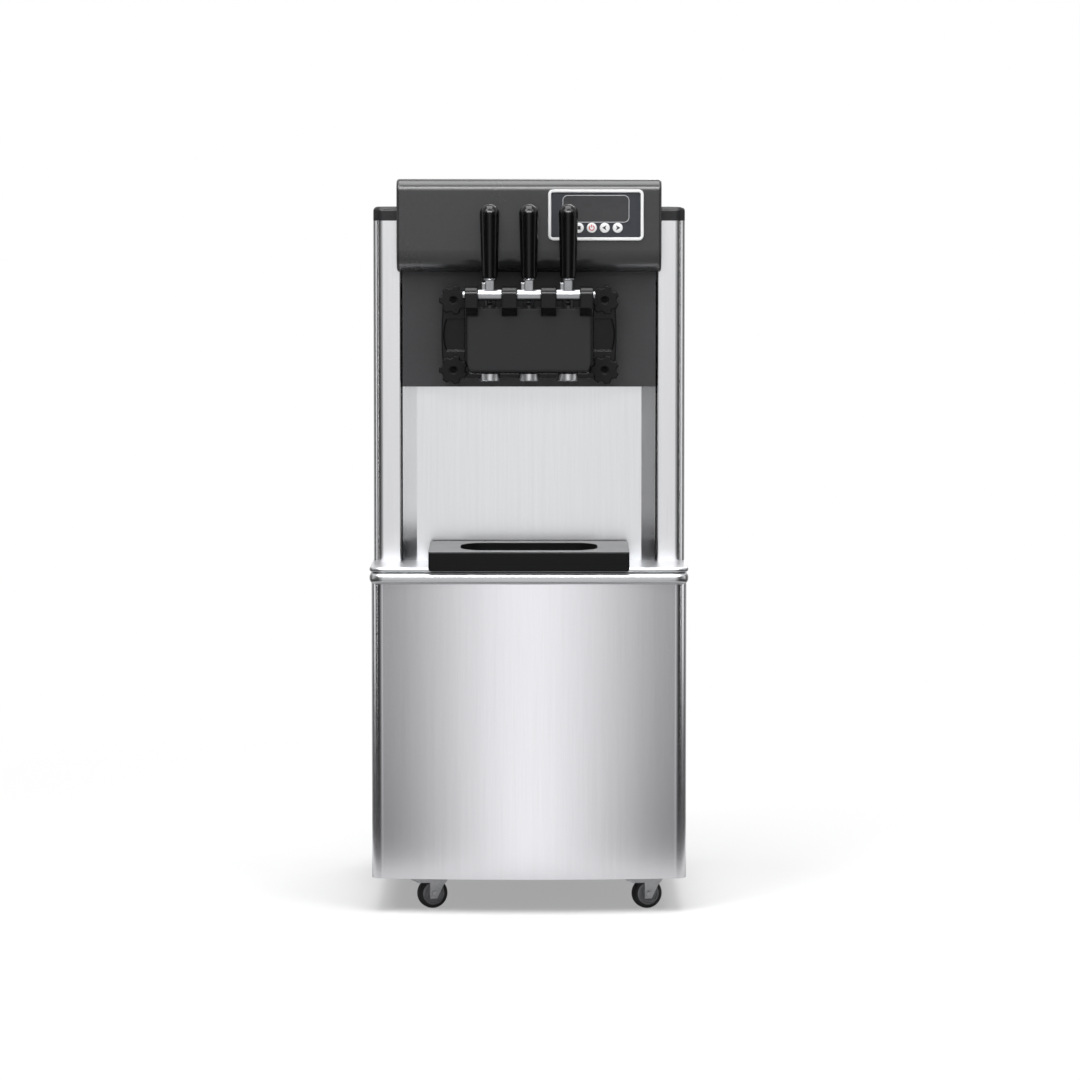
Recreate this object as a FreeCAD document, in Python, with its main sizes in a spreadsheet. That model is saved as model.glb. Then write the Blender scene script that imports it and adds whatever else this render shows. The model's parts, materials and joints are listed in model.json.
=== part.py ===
import FreeCAD, Part
import os
import re
import Sketcher

os.makedirs("parts", exist_ok=True)
doc = FreeCAD.newDocument("soft_serve_machine")
Vector = FreeCAD.Vector

# Driving sizes in millimetres and degrees. The part stands on z = 0, the front faces -Y.
SIZES = {
    # cabinet
    "overall_depth": 690, "cabinet_width": 542, "sheet_wall": 1.5, "seam_gap": 0.6,
    "door_bottom": 58.5, "door_height": 510, "door_bow": 18, "door_corner": 20, "door_wrap": 20,
    "waist_lower": 21.5, "waist_upper": 8, "waist_proud": 2.5, "waist_corner": 22,
    "lower_bead": 9.8, "upper_bead": 3.6,
    "waist_rim": 24, "shelf_depth": 157, "shelf_lip": 8, "shelf_floor": 4,
    "column_width": 48.5, "column_corner": 17, "column_wrap": 36, "column_height": 592,
    "column_lip": 12, "column_bend": 3, "panel_gap": 2.5,
    "splash_recess": 22, "splash_wing": 24, "splash_height": 304, "head_wall": 3,
    "rim_height": 24.4, "rim_width": 14, "rim_round": 8, "deck_floor": 4,
    "apron_recess": 10, "apron_height": 38, "apron_wall_rear": 2,
    "louvre_length": 130, "louvre_slot": 6, "louvre_pitch": 24, "louvre_count": 11,
    "louvre_rise": 58, "louvre_set": 104, "louvre_spread": 170, "louvre_blade": 12,
    "rear_louvre_rise": 128,
    # base pan and inner frame
    "pan_lift": 9.5, "pan_wall": 4, "pan_lip": 17, "pan_lip_half": 240, "post_size": 28,
    "head_rail_drop": 105, "head_rail_height": 20, "cross_rail_height": 42.8, "side_rail_height": 25,
    "cross_rail_front": 90, "cross_rail_width": 25, "rail_clearance": 0.2,
    # head cover and controls
    "hood_reach": 43, "hood_side": 42, "hood_height": 161, "hood_rise": 47.6, "hood_back": 70,
    "hood_wall": 3, "hood_top_round": 20, "hood_low_round": 38, "hood_back_round": 20, "hood_end_round": 5,
    "bezel_width": 165, "bezel_height": 88, "bezel_center": 115.5, "bezel_drop": 62, "bezel_round": 9,
    "bezel_plate": 4, "bezel_frame": 5.4, "bezel_face": 1.5,
    "display_width": 115, "display_height": 47, "display_rise": 10.5, "display_round": 9,
    "display_wall": 0.8,
    "button_radius": 8.7, "button_fit": 0.3, "button_wall": 2.4, "button_proud": 1.3, "button_pitch": 22.4,
    "button_first": 63.5, "button_drop": 22.2,
    "board_width": 150, "board_height": 62, "board_wall": 1.6, "board_spacer": 6, "spacer_radius": 4,
    "spacer_inset": 8,
    # hoppers, lids and feed tubes
    "hopper_side_gap": 32, "hopper_mid_gap": 15, "hopper_depth": 118, "hopper_wall": 2, "hopper_flange": 9,
    "hopper_front_gap": 42, "hopper_back_gap": 79, "hopper_round": 25, "hopper_fit": 1,
    "lid_wall": 3, "lid_rim": 8, "lid_rim_wall": 3, "lid_rim_fit": 1.5, "lid_knob_radius": 15,
    "lid_knob_height": 11, "lid_knob_round": 4, "lid_margin": 7,
    "feed_set": 128, "feed_radius": 8.5, "feed_bore": 5, "feed_flange": 14, "feed_flange_wall": 3,
    "feed_drop": 28, "feed_rise": 75, "feed_fit": 0.5,
    # freezing cylinders, beaters and gear motors
    "barrel_spacing": 136, "barrel_rise": 59, "barrel_bore": 50, "barrel_wall": 3, "jacket_radius": 62,
    "motor_clear": 7, "barrel_cap": 6, "jacket_set": 27, "jacket_short": 20, "plate_wall": 8,
    "plate_half": 150, "plate_margin": 1, "inlet_radius": 13,
    "stud_radius": 5, "stud_reach": 35.5, "stud_fit": 0.5, "shaft_radius": 9, "shaft_fit": 0.05,
    "beater_set": 27, "shaft_reach": 22, "beater_reach": 48.8, "blade_width": 9, "blade_wall": 6,
    "blade_set": 32, "blade_short": 20, "spider_wall": 10,
    "gearbox_width": 110, "gearbox_length": 90, "motor_radius": 42, "motor_length": 66, "socket_depth": 28,
    # cooling
    "compressor_radius": 78, "compressor_height": 180, "compressor_round": 30, "compressor_foot": 92,
    "compressor_foot_wall": 5, "compressor_side": 159.5, "compressor_behind": 203,
    "condenser_width": 50, "condenser_height": 330, "condenser_gap": 12,
    "condenser_end": 6, "condenser_tail": 55, "fin_gap": 6, "fin_pitch": 12, "fin_depth": 38, "fin_count": 27,
    "fin_margin": 12,
    "fan_gap": 32.5, "fan_lift": 165, "fan_hub": 22, "fan_hub_wall": 20,
    "fan_radius": 100,
    "fan_blade_half": 24, "fan_blade_wall": 2.5, "fan_blade_twist": 35, "fan_blade_count": 5,
    "fan_shaft": 5, "fan_motor_radius": 38, "fan_motor_length": 60, "fan_motor_gap": 18, "fan_post": 30,
    # dispensing head
    "block_half": 111, "block_rise": 24, "block_height": 113, "block_depth": 70, "block_round": 8,
    "block_corner": 14,
    "flange_wall": 22, "flange_half": 147, "flange_bulge": 5, "flange_drop": 8, "flange_height": 151,
    "flange_round": 18, "wing_depth": 10, "wing_rim": 4, "wing_rise": 39, "wing_height": 55,
    "lever_pitch": 67.5, "lever_gap": 41.5, "lever_fit": 0.3, "hinge_rise": 24, "hinge_ahead": 4,
    "lug_radius": 14, "lug_drop": 12, "lug_outer": 22, "pin_radius": 4, "pin_fit": 0.05, "pin_head": 6.5,
    "pin_head_wall": 4,
    "lever_lean": 10, "lever_drop": 30, "lever_arm_length": 24, "lever_set_back": 22.4,
    "barrel_hinge_radius": 10, "tail_wall": 5, "tail_width": 8, "tail_pin_radius": 4,
    "shank_size": 14.5, "shank_top": 27, "cheek_width": 6.5, "cheek_depth": 10, "cheek_top": 22,
    "collar_radius": 12, "collar_wall": 3, "tang_radius": 5, "tang_length": 60, "tang_fit": 0.1,
    "grip_low_radius": 13.8, "grip_high_radius": 17, "grip_shoulder": 142, "grip_top": 158, "grip_edge": 3,
    "plunger_radius": 12, "plunger_fit": 0.1, "plunger_lift": 6, "plunger_sink": 5, "stem_radius": 9,
    "stem_over": 1, "slot_half": 4.5, "slot_flare": 8, "slot_back": 7, "slot_throat": 3, "slot_width": 9,
    "ring_groove": 3, "ring_depth": 1.5, "ring_low": 6, "ring_high": 40,
    "bore_floor": 7, "outlet_radius": 9, "port_radius": 8, "port_rise": 27, "port_recess": 10,
    "port_cup": 48, "branch_radius": 6, "branch_length": 65,
    "boss_radius": 14, "boss_drop": 8.5, "nozzle_radius": 17, "nozzle_drop": 12, "nozzle_edge": 2,
    "star_tip": 8, "star_valley": 4,
    "knob_across": 262, "knob_rise": 6, "knob_spread": 121, "knob_radius": 25, "knob_wall": 16,
    "knob_gap": 0.2,
    "knob_scallop": 6.5, "knob_scallop_out": 27, "knob_lobes": 7, "knob_well": 7, "knob_well_depth": 5,
    "knob_edge": 1.8, "knob_relief": 27,
    # drip tray and grid
    "apron_wall": 7.5, "apron_gap": 0.5, "tray_width": 344, "tray_depth": 165, "tray_front_height": 33.5,
    "tray_back_height": 34.4, "apron_drop": 6.3, "apron_round": 5, "tray_round": 12, "tray_edge": 2.5,
    "tray_floor": 3.5,
    "recess_width": 236, "recess_depth": 112, "recess_round": 40, "recess_middle": 84, "ledge_width": 7,
    "ledge_rise": 17, "grid_wall": 3, "grid_fit": 0.4, "grid_slot": 6, "grid_pitch": 14, "grid_count": 13,
    "grid_margin": 16,
    # casters and cord gland
    "caster_side": 85, "caster_ahead": 26, "caster_behind": 75, "caster_turn": 18, "caster_trail": 19,
    "wheel_radius": 26, "wheel_width": 20, "hub_radius": 19.5, "hub_width": 18, "tyre_round": 6,
    "hub_rim": 3, "hub_dish": 3, "hub_boss": 8,
    "axle_radius": 4, "axle_fit": 0.05, "axle_nut": 5, "axle_nut_wall": 4, "fork_wall": 2.5, "fork_side": 1,
    "fork_crown": 3, "race_gap": 0.3, "race_radius": 20, "race_wall": 3.5, "caster_plate": 64,
    "caster_plate_wall": 4, "kingpin_radius": 5, "kingpin_fit": 0.05, "kingpin_head": 7,
    "kingpin_head_wall": 3,
    "gland_side": 89.5, "gland_rise": 12, "gland_radius": 9, "gland_flange": 13, "gland_bore": 4.5,
    "gland_out": 9, "gland_in": 10,
}

sheet = doc.addObject("Spreadsheet::Sheet", "Sizes")
for row, (name, size) in enumerate(SIZES.items(), start=1):
    sheet.set(f"A{row}", name)
    sheet.set(f"B{row}", str(size))
    sheet.setAlias(f"B{row}", name)
doc.recompute()

NODES = []


def formula(text):
    """The text as an expression, each place written out and each size's name pointed at its cell."""
    def swap(found):
        if found[0] in PLACES:
            return f"({formula(PLACES[found[0]])})"
        return "Sizes." + found[0] if found[0] in SIZES else found[0]

    return re.sub(r"[a-z][a-z0-9_]*", swap, str(text))


def number(text):
    """The present value of a formula."""
    return float(sheet.evalExpression(formula(text)))


def bind(item, **formulas):
    """Ties properties of a document object to formulas."""
    for key, text in formulas.items():
        item.setExpression(key, formula(text))
    return item


def place(item, x="0", y="0", z="0", axis=None, angle="0"):
    """Ties the placement of a document object to formulas."""
    if axis:
        item.Placement = FreeCAD.Placement(Vector(), FreeCAD.Rotation(Vector(*axis), 1))
        item.setExpression("Placement.Rotation.Angle", formula(angle))
    for key, text in (("x", x), ("y", y), ("z", z)):
        item.setExpression("Placement.Base." + key, formula(text))
    return item


def keep(item, label):
    """Names a finished sub-part and lists it for export."""
    item.Label = label
    NODES.append(item)
    return item


def box(x0, x1, y0, y1, z0, z1):
    """A box between two formulas on each axis."""
    made = doc.addObject("Part::Box", "Box")
    bind(made, Length=f"({x1}) - ({x0})", Width=f"({y1}) - ({y0})", Height=f"({z1}) - ({z0})")
    return place(made, x0, y0, z0)


def rod(along, radius, start, end, a, b):
    """A cylinder along x, y or z from start to end; a and b are its other two coordinates in order."""
    made = doc.addObject("Part::Cylinder", "Rod")
    bind(made, Radius=radius, Height=f"({end}) - ({start})")
    if along == "x":
        return place(made, start, a, b, (0, 1, 0), "90")
    if along == "y":
        return place(made, a, start, b, (1, 0, 0), "-90")
    return place(made, a, b, start)


def fuse(*pieces):
    """One solid out of several that meet."""
    made = doc.addObject("Part::MultiFuse", "Fusion")
    made.Shapes = list(pieces)
    made.Refine = True
    return made


def cut(base, *tools):
    """The base less all the tools."""
    made = doc.addObject("Part::Cut", "Cut")
    made.Base = base
    made.Tool = tools[0] if len(tools) == 1 else fuse(*tools)
    made.Refine = True
    return made


def group(label, *solids):
    """Several separate solids that are handed over as one sub-part."""
    made = doc.addObject("Part::Compound", "Group")
    made.Links = list(solids)
    return keep(made, label)


def new_body(label):
    """An empty body."""
    made = doc.addObject("PartDesign::Body", label)
    made.Label = label
    return made


def origin_plane(body, role):
    """One of the body's own origin planes or axes."""
    return next(item for item in body.Origin.OriginFeatures if item.Role == role)


def flat_sketch(body, role, lift):
    """An empty sketch on an origin plane, lifted along the plane's normal (the XZ plane's is -Y)."""
    sketch = body.newObject("Sketcher::SketchObject", body.Label + "_sketch")
    sketch.AttachmentSupport = [(origin_plane(body, role), "")]
    sketch.MapMode = "FlatFace"
    sketch.setExpression("AttachmentOffset.Base.z", formula(lift))
    return sketch


def hold(sketch, item, end, x, y):
    """Holds a point of a sketch at two distances from the origin."""
    for kind, text in (("DistanceX", x), ("DistanceY", y)):
        index = sketch.addConstraint(Sketcher.Constraint(kind, -1, 1, item, end, number(text)))
        sketch.setExpression(f"Constraints[{index}]", formula(text))


def outline(body, role, corners, lift="0"):
    """A closed sketch through the corners. A corner of four formulas starts an arc through its last two."""
    sketch = flat_sketch(body, role, lift)
    points = [Vector(number(corner[0]), number(corner[1]), 0) for corner in corners]
    ends = []
    for corner, start, stop in zip(corners, points, points[1:] + points[:1]):
        if len(corner) == 2:
            item = sketch.addGeometry(Part.LineSegment(start, stop))
        else:
            middle = Vector(number(corner[2]), number(corner[3]), 0)
            item = sketch.addGeometry(Part.Arc(start, middle, stop))
            mark = sketch.addGeometry(Part.Point(middle), True)
            sketch.addConstraint(Sketcher.Constraint("PointOnObject", mark, 1, item))
            hold(sketch, mark, 1, corner[2], corner[3])
        first = 1 if sketch.getPoint(item, 1).distanceToPoint(start) < 1e-6 else 2
        ends.append((item, first))
    for corner, (item, first), (follower, entry) in zip(corners, ends, ends[1:] + ends[:1]):
        sketch.addConstraint(Sketcher.Constraint("Coincident", item, 3 - first, follower, entry))
        hold(sketch, item, first, corner[0], corner[1])
    return sketch


def disc(body, role, radius, x="0", y="0", lift="0"):
    """A sketch of one circle."""
    sketch = flat_sketch(body, role, lift)
    sketch.addGeometry(Part.Circle(Vector(number(x), number(y), 0), Vector(0, 0, 1), number(radius)))
    index = sketch.addConstraint(Sketcher.Constraint("Radius", 0, number(radius)))
    sketch.setExpression(f"Constraints[{index}]", formula(radius))
    hold(sketch, 0, 3, x, y)
    return sketch


def bend(x, y, come, leave, radius):
    """The two outline corners of a quarter round at (x, y), between two axis directions."""
    near = f"({radius}) * 0.292893"
    start = (f"({x}) - ({radius}) * {come[0]}", f"({y}) - ({radius}) * {come[1]}")
    stop = (f"({x}) + ({radius}) * {leave[0]}", f"({y}) + ({radius}) * {leave[1]}")
    middle = (f"({x}) + {near} * ({leave[0]} - {come[0]})", f"({y}) + {near} * ({leave[1]} - {come[1]})")
    return [start + middle, stop]


def rounded_frame(x0, x1, y0, y1, radius):
    """The outline corners of a rectangle with round corners."""
    return (bend(x1, y0, (1, 0), (0, 1), radius) + bend(x1, y1, (0, 1), (-1, 0), radius)
            + bend(x0, y1, (-1, 0), (0, -1), radius) + bend(x0, y0, (0, -1), (1, 0), radius))


def pad(body, sketch, length, middle=False, back=False):
    """A sketch given a thickness."""
    made = body.newObject("PartDesign::Pad", body.Label + "_pad")
    made.Profile = sketch
    made.Midplane = middle
    made.Reversed = back
    bind(made, Length=length)
    body.Tip = made
    doc.recompute()
    return made


def pocket(body, sketch, length=None, middle=False, back=False):
    """A sketch cut to a depth against its normal, or right through both ways."""
    made = body.newObject("PartDesign::Pocket", body.Label + "_pocket")
    made.Profile = sketch
    made.Midplane = middle or length is None
    made.Reversed = back
    if length is None:
        made.Type = 1
    else:
        bind(made, Length=length)
    body.Tip = made
    doc.recompute()
    return made


def turn(body, sketch, axis):
    """A sketch turned once around an origin axis."""
    made = body.newObject("PartDesign::Revolution", body.Label + "_turned")
    made.Profile = sketch
    made.ReferenceAxis = (origin_plane(body, axis), [""])
    made.Angle = 360
    body.Tip = made
    doc.recompute()
    return made


def row_of(body, features, axis, span, count):
    """Features repeated in a straight row along an origin axis."""
    made = body.newObject("PartDesign::LinearPattern", body.Label + "_row")
    made.Originals = list(features)
    made.Direction = (origin_plane(body, axis), [""])
    bind(made, Length=span, Occurrences=count)
    body.Tip = made
    doc.recompute()
    return made


def ring_of(body, features, axis, count):
    """Features repeated evenly around an origin axis."""
    made = body.newObject("PartDesign::PolarPattern", body.Label + "_ring")
    made.Originals = list(features)
    made.Axis = (origin_plane(body, axis), [""])
    made.Angle = 360
    bind(made, Occurrences=count)
    body.Tip = made
    doc.recompute()
    return made


def soften(body, radius, wanted):
    """Rounds the edges of the body's tip that the test picks."""
    tip = body.Tip
    edges = [f"Edge{n}" for n, edge in enumerate(tip.Shape.Edges, start=1) if wanted(edge.BoundBox)]
    made = body.newObject("PartDesign::Fillet", body.Label + "_round")
    made.Base = (tip, edges)
    bind(made, Radius=radius)
    body.Tip = made
    doc.recompute()
    return made


def at(value, text):
    """Whether a coordinate lies on the value of a formula."""
    return abs(value - number(text)) < 1e-4


# Planes that several sub-parts share
HALF = "(cabinet_width / 2)"
INSIDE = f"({HALF} - sheet_wall)"
REAR = "(overall_depth / 2)"
TRAY_FRONT = "(0 - overall_depth / 2)"
SHELF_FRONT = f"({TRAY_FRONT} + apron_wall + apron_gap)"
DOOR_FRONT = f"({SHELF_FRONT} + shelf_lip)"
DOOR_EDGE = f"({DOOR_FRONT} + door_bow)"
DOOR_SIDE = f"({DOOR_EDGE} + door_corner)"
DOOR_BACK = f"({DOOR_SIDE} + door_wrap)"
COLUMN_FRONT = f"({SHELF_FRONT} + shelf_depth)"
COLUMN_BACK = f"({COLUMN_FRONT} + column_wrap)"
COLUMN_INNER = f"({HALF} - column_width)"
PANEL_HALF = f"({COLUMN_INNER} - panel_gap)"
SPLASH_FRONT = f"({COLUMN_FRONT} + splash_recess)"
WAIST_BOTTOM = "(door_bottom + door_height)"
SHELF_TOP = f"({WAIST_BOTTOM} + waist_lower + waist_upper)"
HEAD_BOTTOM = f"({SHELF_TOP} + splash_height)"
COLUMN_TOP = f"({SHELF_TOP} + column_height)"
DECK = f"({COLUMN_TOP} + deck_floor)"
RIM_TOP = f"({COLUMN_TOP} + rim_height)"
HOOD_TOP = f"({RIM_TOP} + hood_rise)"
HOOD_BOTTOM = f"({HOOD_TOP} - hood_height)"
HOOD_FRONT = f"({COLUMN_FRONT} - hood_reach)"
HOOD_BACK = f"({COLUMN_FRONT} + hood_back)"
HEAD_BACK = f"({COLUMN_FRONT} + head_wall)"
PAN_BOTTOM = "(door_bottom + pan_lift)"
PAN_TOP = f"({PAN_BOTTOM} + pan_wall)"
APRON = f"({REAR} - apron_recess)"
REAR_POST = f"({APRON} - apron_wall_rear)"
BLOCK_FRONT = f"({COLUMN_FRONT} - block_depth)"
FLANGE_FRONT = f"({COLUMN_FRONT} - flange_wall)"
HINGE = f"({BLOCK_FRONT} - hinge_ahead)"
PLUNGER = f"({HINGE} + lever_set_back)"
SLOT_HEIGHT = "(hinge_height - lever_arm_length * sin(lever_drop))"
BEZEL_FRONT = f"({HOOD_FRONT} - bezel_plate)"
BEZEL_FACE = f"({BEZEL_FRONT} + bezel_face)"
HOPPER_BOTTOM = f"({DECK} - hopper_depth)"
HOPPER_FLOOR = f"({HOPPER_BOTTOM} + hopper_wall)"
FLANGE_TOP = f"({DECK} + hopper_wall)"
TRAY_SEAT = f"({SHELF_TOP} + ledge_rise)"

# Places that follow from the sizes
PLACES = {
    "apron_top": f"{PAN_TOP} + apron_height", "louvre_low": f"{PAN_TOP} + louvre_rise",
    "rear_louvre_low": f"{PAN_TOP} + rear_louvre_rise", "louvre_front": f"{COLUMN_BACK} + louvre_set",
    "head_rail_low": f"{COLUMN_TOP} - head_rail_drop",
    "side_rail_low": "barrel_height - jacket_radius - rail_clearance - cross_rail_height",
    "hood_width": f"({HALF} - hood_side) * 2",
    "bezel_middle": f"{HOOD_TOP} - bezel_drop", "display_middle": "bezel_middle + display_rise",
    "button_middle": "bezel_middle - button_drop",
    "hopper_outer": f"{HALF} - rim_width - hopper_side_gap",
    "hopper_center": "(hopper_outer + hopper_mid_gap) / 2", "hopper_width": "hopper_outer - hopper_mid_gap",
    "hopper_front": f"{HOOD_BACK} + hopper_front_gap", "hopper_back": f"{REAR} - rim_width - hopper_back_gap",
    "hopper_middle": "(hopper_front + hopper_back) / 2", "hopper_length": "hopper_back - hopper_front",
    "feed_middle": "hopper_front + feed_set",
    "block_bottom": f"{HEAD_BOTTOM} + block_rise", "block_top": "block_bottom + block_height",
    "flange_bottom": "block_bottom - flange_drop", "flange_top": "flange_bottom + flange_height",
    "wing_low": "block_bottom + wing_rise", "wing_high": "wing_low + wing_height",
    "hinge_height": "block_top + hinge_rise", "lug_low": "block_top - lug_drop",
    "bore_bottom": "block_bottom + bore_floor", "plunger_bottom": "bore_bottom + plunger_lift",
    "plunger_top": "block_top - plunger_sink", "stem_top": "hinge_height + stem_over",
    "port_height": "block_bottom + port_rise", "knob_low": "block_bottom + knob_rise",
    "knob_high": "knob_low + knob_spread", "plate_bottom": "flange_bottom - plate_margin",
    "plate_top": "flange_top", "barrel_height": "block_bottom + barrel_rise",
    "barrel_end": f"{REAR_POST} - motor_clear - motor_length - gearbox_length",
    "jacket_front": f"{HEAD_BACK} + jacket_set", "jacket_back": "barrel_end - jacket_short",
    "beater_front": f"{HEAD_BACK} + beater_set", "beater_back": "barrel_end + shaft_reach",
    "blade_front": f"{HEAD_BACK} + blade_set", "blade_back": "barrel_end - blade_short",
    "compressor_across": f"{INSIDE} - compressor_side",
    "compressor_along": f"{REAR_POST} - compressor_behind",
    "condenser_front": f"{COLUMN_BACK} + post_size + condenser_end",
    "condenser_back": f"{REAR_POST} - post_size - condenser_tail",
    "fan_across": f"condenser_gap + condenser_width + fan_gap - {INSIDE}",
    "fan_along": "(condenser_front + condenser_back) / 2",
    "caster_across": f"{HALF} - caster_side", "caster_front": f"{DOOR_SIDE} + caster_ahead",
    "caster_back": f"{REAR} - caster_behind",
    "gland_across": f"{INSIDE} - gland_side", "gland_height": f"{PAN_TOP} + gland_rise",
}


def base_pan():
    """Floor plate with a narrower front lip and a rear apron that closes the foot of the back."""
    floor = box(f"0 - {INSIDE}", INSIDE, DOOR_SIDE, APRON, PAN_BOTTOM, PAN_TOP)
    lip = box("0 - pan_lip_half", "pan_lip_half", f"{DOOR_SIDE} - pan_lip", DOOR_SIDE, PAN_BOTTOM, PAN_TOP)
    apron = box(f"0 - {INSIDE}", INSIDE, REAR_POST, APRON, "door_bottom", "apron_top")
    hole = rod("y", "gland_radius", f"{REAR_POST} - 1", f"{APRON} + 1", "gland_across", "gland_height")
    keep(cut(fuse(floor, lip, apron), hole), "base_pan")


def inner_frame():
    """Welded posts and rails behind the panels."""
    outer = INSIDE
    inner = f"({INSIDE} - post_size)"
    column = f"({HALF} - column_corner)"
    arm_front = f"({COLUMN_FRONT} + column_lip + panel_gap)"
    bars = [box(f"0 - {inner}", inner, "cross_rail_front", "cross_rail_front + cross_rail_width",
                "side_rail_low", "barrel_height - jacket_radius - rail_clearance"),
            box(f"0 - {PANEL_HALF}", PANEL_HALF, HEAD_BACK, f"{arm_front} + 4",
                "head_rail_low", "head_rail_low + head_rail_height"),
            box(f"0 - {column}", column, arm_front, f"{arm_front} + head_rail_height",
                "head_rail_low", "head_rail_low + head_rail_height")]
    for side in (-1, 1):
        near = f"({inner}) * {side} - post_size * {(1 - side) / 2}"
        far = f"({near}) + post_size"
        bars.append(box(near, far, DOOR_SIDE, f"{DOOR_SIDE} + post_size", PAN_TOP, WAIST_BOTTOM))
        bars.append(box(near, far, COLUMN_BACK, f"{COLUMN_BACK} + post_size", PAN_TOP, COLUMN_TOP))
        bars.append(box(near, far, f"{REAR_POST} - post_size", REAR_POST, PAN_TOP, COLUMN_TOP))
        bars.append(box(near, far, COLUMN_BACK, REAR_POST, "side_rail_low",
                        "side_rail_low + side_rail_height"))
        arm = f"({column} - post_size) * {side} - post_size * {(1 - side) / 2}"
        bars.append(box(near, far, DOOR_SIDE, COLUMN_BACK, f"{WAIST_BOTTOM} - head_rail_height",
                        WAIST_BOTTOM))
        bars.append(box(arm, f"({arm}) + post_size", arm_front, f"{COLUMN_BACK} + post_size",
                        "head_rail_low", "head_rail_low + head_rail_height"))
    keep(fuse(*bars), "inner_frame")


def side_panel(label, side):
    """L-shaped sheet with two banks of louvres whose blades are pressed inward."""
    body = new_body(label)
    low = f"{DOOR_BACK} + seam_gap"
    high = f"{COLUMN_BACK} + seam_gap"
    corners = [(low, "door_bottom"), (REAR, "door_bottom"), (REAR, COLUMN_TOP), (high, COLUMN_TOP),
               (high, WAIST_BOTTOM), (low, WAIST_BOTTOM)]
    sheet_face = f"{HALF} * {side}"
    pad(body, outline(body, "YZ_Plane", corners, sheet_face), "sheet_wall", back=side > 0)
    for bank in (0, 1):
        first = f"(louvre_front + louvre_spread * {bank})"
        ends = (f"{first} + louvre_length / 2", f"{first} - louvre_length / 2")
        slot = [(ends[1], "louvre_low"), (ends[0], "louvre_low"), (ends[0], "louvre_low + louvre_slot"),
                (ends[1], "louvre_low + louvre_slot")]
        opening = pocket(body, outline(body, "YZ_Plane", slot, sheet_face))
        row_of(body, [opening], "Z_Axis", "louvre_pitch * (louvre_count - 1)", "louvre_count")
        root = f"({HALF} - sheet_wall) * {side}"
        tip = f"({HALF} - louvre_blade) * {side}"
        edge = "louvre_low + louvre_slot"
        blade = [(root, edge), (tip, f"{edge} - louvre_slot * 1.4"),
                 (tip, f"{edge} - louvre_slot * 1.4 + sheet_wall"), (root, f"{edge} + sheet_wall")]
        vane = pad(body, outline(body, "XZ_Plane", blade, f"0 - ({ends[0]})"), "louvre_length")
        row_of(body, [vane], "Z_Axis", "louvre_pitch * (louvre_count - 1)", "louvre_count")
    keep(body, label)


def rear_panel():
    """Flat back with a foot flange that meets the apron, and one bank of slots."""
    body = new_body("rear_panel")
    inner = f"{REAR} - sheet_wall"
    corners = [(REAR, "apron_top"), (REAR, COLUMN_TOP), (inner, COLUMN_TOP),
               (inner, "apron_top + sheet_wall"),
               (APRON, "apron_top + sheet_wall"), (APRON, "apron_top")]
    pad(body, outline(body, "YZ_Plane", corners), f"{INSIDE} * 2", middle=True)
    slot = [("0 - louvre_length", "rear_louvre_low"), ("louvre_length", "rear_louvre_low"),
            ("louvre_length", "rear_louvre_low + louvre_slot"),
            ("0 - louvre_length", "rear_louvre_low + louvre_slot")]
    opening = pocket(body, outline(body, "XZ_Plane", slot, f"0 - {REAR}"), "sheet_wall * 2", middle=True)
    row_of(body, [opening], "Z_Axis", "louvre_pitch * (louvre_count - 1)", "louvre_count")
    keep(body, "rear_panel")


def lower_front_panel():
    """Bowed sheet with round vertical corners and short side returns."""
    body = new_body("lower_front_panel")

    def bowed(inset, back):
        half = f"({HALF} - {inset})"
        round_off = f"(door_corner - {inset})"
        right = bend(half, f"{DOOR_EDGE} + {inset}", (1, 0), (0, 1), round_off)
        left = bend(f"0 - {half}", f"{DOOR_EDGE} + {inset}", (0, -1), (1, 0), round_off)
        bow = left[1] + ("0", f"{DOOR_FRONT} + {inset}")
        return [left[0], bow] + right + [(half, back), (f"0 - {half}", back)]

    pad(body, outline(body, "XY_Plane", bowed("0", DOOR_BACK), "door_bottom"), "door_height")
    pocket(body, outline(body, "XY_Plane", bowed("sheet_wall", f"{DOOR_BACK} + 1"), "door_bottom"))
    keep(body, "lower_front_panel")


def waist_shelf():
    """Two stacked bullnose tiers around a hollow shelf."""
    half = f"({HALF} + waist_proud)"
    plan = (bend(half, SHELF_FRONT, (1, 0), (0, 1), "waist_corner")
            + [(half, COLUMN_BACK), (f"0 - {half}", COLUMN_BACK)]
            + bend(f"0 - {half}", SHELF_FRONT, (0, -1), (1, 0), "waist_corner"))
    tiers = []
    for label, bottom, height, bead in (("lower_tier", WAIST_BOTTOM, "waist_lower", "lower_bead"),
                                        ("upper_tier", f"{WAIST_BOTTOM} + waist_lower", "waist_upper",
                                         "upper_bead")):
        tier = new_body(label)
        pad(tier, outline(tier, "XY_Plane", plan, bottom), height)
        soften(tier, bead, lambda b: b.ZLength < 1e-6 and not (at(b.YMin, COLUMN_BACK)))
        tiers.append(tier)
    hollow = box(f"waist_rim - {half}", f"{half} - waist_rim", f"{SHELF_FRONT} + waist_rim",
                 f"{COLUMN_BACK} + 1",
                 f"{WAIST_BOTTOM} - 1", f"{SHELF_TOP} - shelf_floor")
    keep(cut(fuse(*tiers), hollow), "waist_shelf")


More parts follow.
